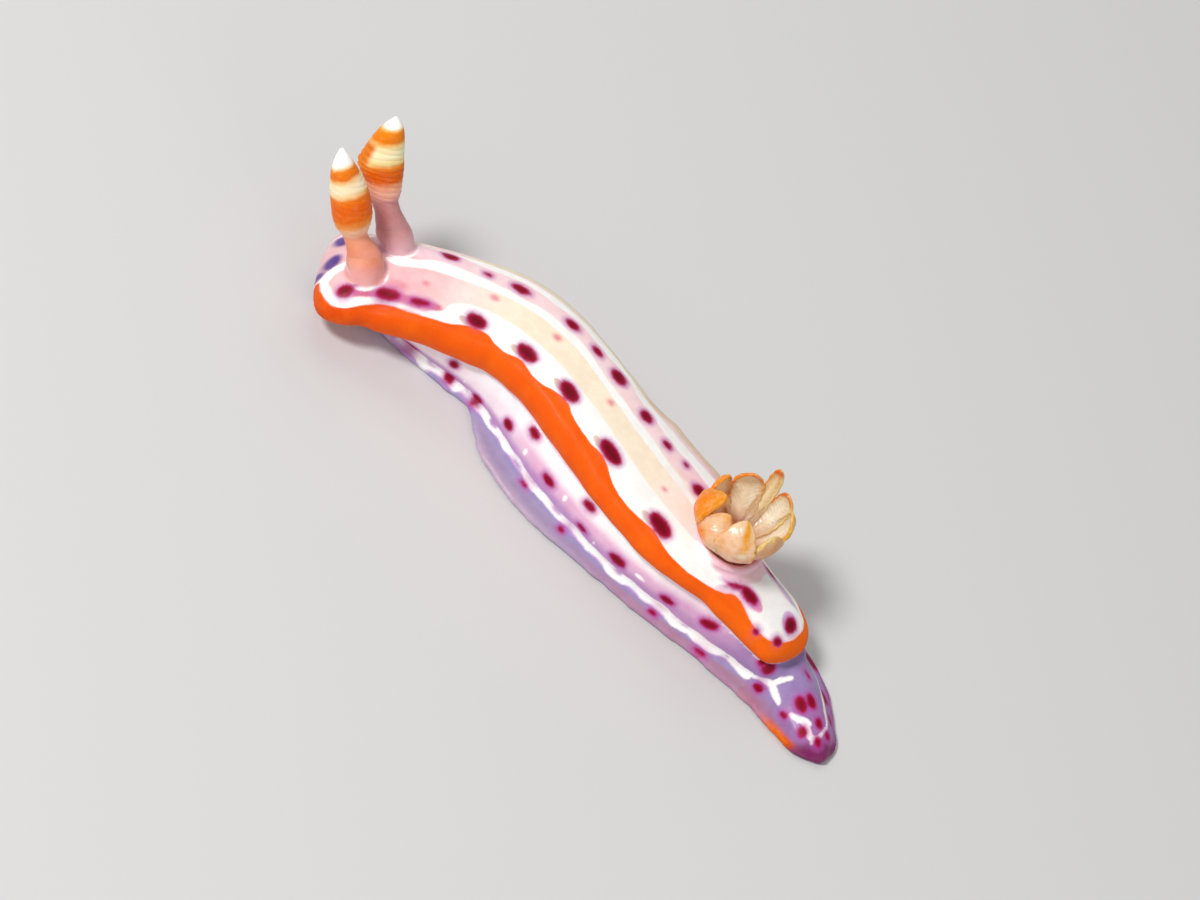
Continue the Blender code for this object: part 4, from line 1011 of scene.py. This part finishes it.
def rhinophore(side):
    """Stalk and club, the club with fine slanting plates."""
    foot, axis, broad, deep = rhino_frame(side)
    shift, half, depth = rhino_curves[side]
    last = RHINO_SHAPE[side][-1]
    tip = RHINO_TIP[side]
    nu = 112
    hs = np.concatenate([[-0.34, -0.30], np.linspace(-0.2, 1.6, 26), np.linspace(1.62, last[0], 300),
                         last[0] + (tip - last[0]) * np.sin(np.linspace(0.15, 0.99, 8) * math.pi / 2)])
    rows, attr = [], []
    for h in hs:
        hc = np.float64(min(max(h, 0), last[0]))
        r1, r2 = float(half(hc)), float(depth(hc))
        if h > last[0]:
            k = math.sqrt(max(1 - ((h - last[0]) / (tip - last[0]))**2, 0.0))
            r1, r2 = r1 * k, r2 * k
        if h < 0:
            r1, r2 = r1 - 0.1, r2 - 0.1
        mid = foot + axis * h + broad * float(shift(hc))
        row = []
        for i in range(nu):
            a = 2 * math.pi * i / nu
            c, n = math.cos(a), math.sin(a)
            if side == "left":
                amp = 0.42 + 0.24 * n
            else:
                amp = (1 - abs(n)) * (0.95 - 0.60 * c) + abs(n) * (0.50 + 0.25 * n)
            live = min(max((h - 1.80) / 0.35, 0), 1) * min(max((tip - 0.55 - h) / 0.6, 0), 1)
            live = live * live * (3 - 2 * live)
            phase = (h + (0.13 if side == "left" else 0.17) * c + 0.03 * math.sin(3 * a + 5 * h)) / PLATE_PITCH
            plate = abs(math.sin(math.pi * phase))**0.7
            step = live * amp * 0.075 * (plate - 0.66) * min(r1 / 0.5, 1)
            row.append(np.array(mid + broad * ((r1 + step) * c) + deep * ((r2 + step) * n)))
            attr.append((tip - h, plate * live * min(amp, 1) + 1 - live * min(amp, 1), c, n))
        rows.append(row)
    sh = Shells()
    sh.grid(rows)
    me = sh.mesh("rhinophore_" + side)
    at = np.array(attr)
    for k, name in enumerate(("from_tip", "plate", "broad", "deep")):
        a = me.attributes.new(name, "FLOAT", "POINT")
        a.data.foreach_set("value", at[:, k].astype(np.float32))
    return me


# colours down from the tip, in mm
RHINO_BANDS = {
    "left": ((0.0, "FFFFFB"), (0.60, "FFFCF4"), (0.72, "F9C98A"), (0.80, "EC8014"), (1.10, "E4740C"), (1.22, "F2BE7C"),
             (1.36, "FBE2B8"), (1.62, "FCE8C4"), (1.84, "F6C98C"), (1.98, "EE7806"), (2.35, "EA6402"), (2.90, "E66A06"),
             (3.10, "EE8830"), (3.30, "F3A05E"), (3.46, "F9C49E"), (3.68, "F7BE9C"), (3.84, "F2A480"), (4.40, "EE9A7C"),
             (5.10, "EC9A90"), (6.0, "EFA9A4")),
    "right": ((0.0, "FFFFFB"), (0.32, "FFFCF0"), (0.44, "F9C274"), (0.52, "EE8A10"), (0.86, "E87C0A"), (0.98, "F4B65C"),
              (1.14, "FDE4AE"), (1.45, "FFF4C8"), (1.82, "FADA90"), (1.98, "EC8820"), (2.20, "E26406"), (2.62, "DE6408"),
              (2.80, "EE9C70"), (3.10, "F4BCA0"), (3.38, "ECB0A0"), (3.60, "CE9290"), (4.30, "C68686"), (5.2, "CC9698"), (6.0, "D8A8B0")),
}


def rhinophore_material(side):
    m = Nodes("rhinophore_skin_" + side).wet(roughness=0.42, sss=0.35, scale=0.0004, coat=0.04, coat_rough=0.22)
    m.bsdf.inputs["Specular IOR Level"].default_value = 0.16
    wob = m.math("MULTIPLY", m.math("SUBTRACT", m.noise(2600, 3), 0.5), 0.20)
    slant = m.math("MULTIPLY", m.attr("broad"), 0.12 if side == "left" else -0.03)
    u = m.math("ADD", m.math("ADD", m.attr("from_tip"), wob), slant)
    col, _ = m.ramp(m.math("DIVIDE", u, 6.2), tuple((p / 6.2, rgb(c)) for p, c in RHINO_BANDS[side]), "LINEAR")
    if side == "right":
        # the lower orange climbs the club's outer side
        lobe = m.math("MULTIPLY", m.step(m.attr("broad"), -0.75, -0.40, 1.0, 0.0), m.step(u, 0.95, 1.15))
        lobe = m.math("MULTIPLY", lobe, m.step(u, 2.2, 2.4, 1.0, 0.0))
        col = m.mix(lobe, col, rgb("E07A18"))
    # painted shade: one side of the stalk is painted darker and redder
    stalk = m.math("MULTIPLY", m.step(m.attr("from_tip"), 3.6, 4.2), m.step(m.attr("broad"), -0.9, 0.3, 0.55, 0.0))
    col = m.mix(stalk, col, rgb("AE6A70" if side == "right" else "EE8458"))
    # painted shade in the grooves between the club's plates
    groove_shade = m.add("ShaderNodeMix", data_type="RGBA", blend_type="MULTIPLY")
    m.link(m.step(m.attr("plate"), 0.0, 0.8, 0.20, 0.0), groove_shade.inputs[0])
    m.link(col, groove_shade.inputs[6])
    groove_shade.inputs[7].default_value = (*rgb("C47A3C"), 1)
    mottle = m.step(m.noise(5200, 3, 0.6), 0.42, 0.70, 0.0, 0.05)
    m.link(m.mix(mottle, groove_shade.outputs[2], rgb("FFE9C8")), m.bsdf.inputs["Base Color"])
    m.link(m.bump(m.noise(9000, 3, 0.6), 0.000012, 0.3), m.bsdf.inputs["Normal"])
    return m.mat


for side in ("left", "right"):
    piece("rhinophore_%s_club" % side, rhinophore(side), rhinophore_material(side), "rhinophore_flesh", "rhinophore_" + side)

# --------------------------------------------------------------------- gills
# azimuth from the tail towards the right, half width, spine (foot radius, second control), tip radius, height,
# third control's radius, cup, and colours:
# inner face, inner edge, rim on the + and - side, tip, outer face, outer blotch (colour, along, across, lengths), foot
GILL_LEAVES = (
    (26, 0.60, (0.84, 1.30, 0.50), 1.66, 2.16, 2.36, 0.30, ("FFFAF2", "D4B890", "EDC070", "E2AC58", "E4B050", "D0A478", ("D8AA66", 0.7, 0.0, 0.2, 0.5), "DCB8A4")),
    (57, 0.54, (0.80, 1.20, 0.65), 1.70, 2.26, 2.42, 0.28, ("FFFCF6", "E2C698", "DE7010", "F2CC7C", "E26408", "D49A58", ("DE7C20", 0.7, 0.0, 0.3, 0.6), "DCB8A4")),
    (85, 0.33, (0.80, 1.20, 0.70), 1.78, 2.82, 2.58, 0.10, ("FAEED4", "D8B884", "E0903A", "FAE8B0", "E45E06", "CC904C", ("D86A1C", 0.8, 0.0, 0.3, 0.6), "D4A898")),
    (114, 0.68, (0.80, 1.20, 0.65), 1.48, 2.30, 2.40, 0.30, ("FFF8F0", "F4B878", "E8780A", "EAB070", "E67410", "F08C28", ("E87E10", 0.6, 0.4, 0.4, 0.6), "EEC0AC")),
    (158, 0.56, (0.84, 1.35, 0.50), 1.52, 2.22, 2.28, 0.42, ("FFF4EA", "F4B280", "F6840E", "EDA860", "EE8A22", "F88C20", ("F87C04", 0.6, 0.2, 0.45, 0.7), "F0B8A0")),
    (199, 0.84, (0.90, 1.55, 0.35), 1.02, 2.06, 2.85, 0.30, ("FBE4D4", "F6BC94", "F49440", "F89C48", "F89A44", "F8963E", ("FA7C00", 0.60, 0.05, 0.34, 0.75), "F8B282")),
    (241, 0.76, (0.92, 1.62, 0.28), 0.92, 1.78, 2.66, 0.30, ("FBE4D4", "F6BC94", "F4AE7C", "F8A858", "F8AA60", "FAC8A8", ("FA8204", 0.50, -0.30, 0.24, 0.48), "FACCB6")),
    (283, 0.84, (0.92, 1.62, 0.34), 1.10, 2.28, 2.78, 0.30, ("FBDCCC", "F8CCAC", "F6B25C", "F8B080", "FADCC0", "FAD2BE", ("F9B888", 0.55, -0.80, 0.3, 0.30), "FAD2C2")),
    (333, 0.80, (0.88, 1.36, 0.46), 1.60, 2.00, 2.20, 0.30, ("EAD6C4", "D4B084", "E0B878", "ECCC90", "E4BE80", "D2AA86", ("C89A6A", 0.6, 0.0, 0.25, 0.5), "EAB4A2")),
)
RIDGES = 15


def gill(k, azimuth, half, spine, tip_radius, height, swell, cup, colours):
    """One branch: a broad cupped petal with a thick rim, fine cross ridges on its inner face and a narrow foot."""
    rot = Vector((0, 0, 1)).rotation_difference(lean_axis(*GILL_LEAN)).to_matrix()
    a = math.radians(azimuth)
    out, side, up = Vector((math.cos(a), math.sin(a), 0)), Vector((-math.sin(a), math.cos(a), 0)), Vector((0, 0, 1))
    r0, r1, z1 = spine
    ctrl = (out * r0, out * r1 + up * z1, out * swell + up * 0.62 * height, out * tip_radius + up * height)

    def bez(t):
        u = 1 - t
        return ctrl[0] * u**3 + ctrl[1] * 3 * u * u * t + ctrl[2] * 3 * u * t * t + ctrl[3] * t**3

    inner, inner_edge, rim_plus, rim_minus, tip_c, outer, (blot, bt, bv, lt, lv), foot_c = colours
    cols = {n: np.array(rgb(h)) for n, h in (("inner", inner), ("inner_edge", inner_edge), ("plus", rim_plus), ("minus", rim_minus),
                                             ("tip", tip_c), ("outer", outer), ("blot", blot), ("foot", foot_c))}
    rows, attr, col = [], [], []
    nt, nv = 96, 30
    for i in range(-4, nt):
        t = max(i, 0) / (nt - 1) * 0.9985
        c = bez(t)
        if i < 0:
            c = c + up * (0.12 * i)
        d = (bez(min(t + 0.01, 1)) - bez(max(t - 0.01, 0))).normalized()
        nrm = side.cross(d).normalized()
        if nrm.dot(out) < 0:
            nrm = -nrm
        grow = min(max((t + 0.12) / 0.48, 0), 1)
        grow = grow * grow * (3 - 2 * grow)
        close = math.sqrt(max(1 - max((t - 0.60) / 0.40, 0)**2.1, 0.0))
        hw = (0.26 + (half - 0.26) * grow) * close
        hw *= 1 + 0.035 * math.sin(RIDGES * math.pi * t + k) * grow
        body = 0.15 - 0.075 * grow
        for_row, thick_end = [], 0.35 + 0.65 * close
        for j in range(2 * nv):
            is_outer = j < nv
            v = -1 + 2 * (j / (nv - 1)) if is_outer else 1 - 2 * ((j - nv) / (nv - 1))
            v = math.sin(v * math.pi / 2)
            edge = (1 - abs(v)) * hw
            round_off = math.sqrt(max(1 - max(1 - edge / 0.06, 0)**2, 0.0)) if edge < 0.06 else 1.0
            bead = 0.030 * math.exp(-((edge - 0.06) / 0.08)**2) * grow
            bow = cup * hw * v * v
            ridge = abs(math.sin(math.pi * (RIDGES * (t - 0.16 * abs(v)) + 0.35 * math.sin(9 * t + k) + 0.25 * math.sin(5 * v + 2 * k))))**0.9
            fold = grow * (1 - math.exp(-(edge / 0.10)**2)) * (1 - math.exp(-(v * hw / 0.07)**2)) * min((1 - t) / 0.12, 1)
            if is_outer:
                off = (body + bead + 0.020 * (ridge - 0.5) * fold + 0.03 * math.exp(-(v * hw / 0.12)**2) * grow) * round_off
            else:
                off = -(body + bead + 0.026 * (ridge - 0.5) * fold * (0.7 + 0.3 * math.sin(7.3 * t + 2.1 * v + k)) + 0.03 * math.exp(-(v * hw / 0.06)**2) * grow) * round_off
            p = c + side * (hw * v) + nrm * (off * thick_end - bow)
            for_row.append(np.array(crown + rot @ p + Vector((GILL_SHIFT, 0, GILL_FOOT))))
            rim_d = min(edge, (1 - t) * height * 1.1)
            # colour
            if is_outer:
                g = math.exp(-(((t - bt) / lt)**2 + ((v - bv) / lv)**2))
                q = cols["outer"] * (1 - g) + cols["blot"] * g
            else:
                g = min(max((rim_d - 0.05) / 0.22, 0), 1)
                q = cols["inner_edge"] * (1 - g) + cols["inner"] * g
                # painted shade in the grooves between the cross ridges of the inner face
                q = q * (1 - 0.20 * fold * (1 - ridge) * np.array((0.6, 0.9, 1.0)))
            rim_c = cols["plus"] if v > 0 else cols["minus"]
            w = 0.5 + 0.5 * math.tanh(v / 0.15)
            rim_c = cols["plus"] * w + cols["minus"] * (1 - w)
            g = min(max((0.13 - rim_d) / 0.08, 0), 1) * min(max((t - 0.30) / 0.25, 0), 1)
            q = q * (1 - g) + rim_c * g
            g = min(max((t - 0.84) / 0.10, 0), 1) * (0.45 if is_outer else 0.9) * min(max((0.34 - rim_d) / 0.14, 0), 1)
            q = q * (1 - g) + cols["tip"] * g
            g = 1 - min(max((t - 0.04) / 0.34, 0), 1)
            q = q * (1 - g) + cols["foot"] * g
            if k == 8 and is_outer:
                # the yellow-orange rachis and the white speck at its foot
                g = math.exp(-((v - 0.42 + 0.2 * (t - 0.6)) / 0.26)**4) * min(max((t - 0.64) / 0.08, 0), 1)
                q = q * (1 - 0.9 * g) + np.array(rgb("F2A024")) * 0.9 * g
                g = math.exp(-(((t - 0.605) / 0.05)**2 + ((v - 0.42) / 0.22)**2))
                q = q * (1 - g) + np.array(rgb("FFF8E8")) * g
            # the pale flesh is warm, as light goes through it; the orange stays as it is
            q = q * (1 - min(q[2] / 0.5, 1.0) * np.array((0.05, 0.20, 0.36)))
            col.append((q[0], q[1], q[2], 1.0))
            attr.append(1.0 if is_outer else 0.0)
        rows.append(for_row)
    sh = Shells()
    sh.grid(rows)
    me = sh.mesh("gill_%02d" % k)
    x = me.attributes.new("flesh", "FLOAT_COLOR", "POINT")
    x.data.foreach_set("color", np.clip(np.array(col), 0, 1).astype(np.float32).ravel())
    x = me.attributes.new("outer", "FLOAT", "POINT")
    x.data.foreach_set("value", np.array(attr, np.float32))
    return me


def gill_material():
    m = Nodes("gill_skin").wet(roughness=0.34, sss=0.6, radius=(1.0, 0.62, 0.45), scale=0.0008, coat=0.35, coat_rough=0.14)
    m.bsdf.inputs["Specular IOR Level"].default_value = 0.3
    hsv = m.add("ShaderNodeHueSaturation")
    m.link(m.attr("flesh", True), hsv.inputs["Color"])
    mottle = m.noise(2800, 4, 0.6)
    m.link(m.step(mottle, 0.3, 0.7, 0.94, 1.06), hsv.inputs["Value"])
    m.link(m.step(mottle, 0.3, 0.7, 1.10, 0.94), hsv.inputs["Saturation"])
    fleck = m.step(m.noise(6500, 3, 0.6), 0.58, 0.76, 0.0, 0.3)
    m.link(m.mix(fleck, hsv.outputs["Color"], rgb("FBE6BE")), m.bsdf.inputs["Base Color"])
    m.link(m.bump(m.noise(8000, 3, 0.6), 0.00003, 0.5), m.bsdf.inputs["Normal"])
    return m.mat


gill_skin = gill_material()
for k, leaf in enumerate(GILL_LEAVES):
    name = "gill_%02d" % (k + 1)
    piece(name + "_branch", gill(k + 1, *leaf), gill_skin, "gill_flesh", name)

# ---------------------------------------------------- floor, light, camera
floor_mesh = bpy.data.meshes.new("floor")
floor_mesh.from_pydata([(-1.5, -1.5, -0.00003), (1.5, -1.5, -0.00003), (1.5, 1.5, -0.00003), (-1.5, 1.5, -0.00003)], [], [(0, 1, 2, 3)])
floor = bpy.data.objects.new("floor", floor_mesh)
bpy.context.scene.collection.objects.link(floor)
fm = Nodes("pale_floor")
fm.bsdf.inputs["Base Color"].default_value = (0.66, 0.655, 0.65, 1)
fm.bsdf.inputs["Roughness"].default_value = 0.75
fm.bsdf.inputs["Specular IOR Level"].default_value = 0.2
floor_mesh.materials.append(fm.mat)

ROLL, ELEVATION, DISTANCE = math.radians(39), math.radians(46), 0.150
cr, sr, ce, se = math.cos(ROLL), math.sin(ROLL), math.cos(ELEVATION), math.sin(ELEVATION)
right = Vector((cr, sr * se, sr * ce))
up = Vector((-sr, cr * se, cr * ce))
toward = Vector((0, -ce, se))
target = Vector((-CENTRE[0], -CENTRE[1], 2.0)) * MM
cam_data = bpy.data.cameras.new("camera")
cam_data.lens, cam_data.sensor_width, cam_data.sensor_fit = 112.5, 36.0, "HORIZONTAL"
cam_data.clip_start, cam_data.clip_end = 0.005, 10.0
cam = bpy.data.objects.new("camera", cam_data)
m4 = Matrix((right, up, toward)).transposed().to_4x4()
m4.translation = target + toward * DISTANCE
cam.matrix_world = m4
bpy.context.scene.collection.objects.link(cam)
bpy.context.scene.camera = cam


def area(name, direction, distance, size, power, colour=(1, 1, 1)):
    data = bpy.data.lights.new(name, "AREA")
    data.shape, data.size, data.energy, data.color = "DISK", size, power, colour
    ob = bpy.data.objects.new(name, data)
    d = Vector(direction).normalized()
    ob.location = target + d * distance
    ob.rotation_euler = d.to_track_quat("Z", "Y").to_euler()
    bpy.context.scene.collection.objects.link(ob)
    return ob


area("key", toward * 1.0 + up * 0.5 - right * 0.3, 0.32, 0.07, 0.76)
area("fill", toward * 0.7 - up * 0.8 + right * 0.5, 0.34, 0.24, 0.20)
area("back", up * 1.0 + toward * 0.25 + right * 0.25, 0.34, 0.22, 0.16)
world = bpy.data.worlds.new("studio")
world.use_nodes = True
world.node_tree.nodes["Background"].inputs["Color"].default_value = (1.0, 1.0, 1.0, 1)
world.node_tree.nodes["Background"].inputs["Strength"].default_value = 0.36
bpy.context.scene.world = world
bpy.context.scene.view_settings.view_transform = "Standard"
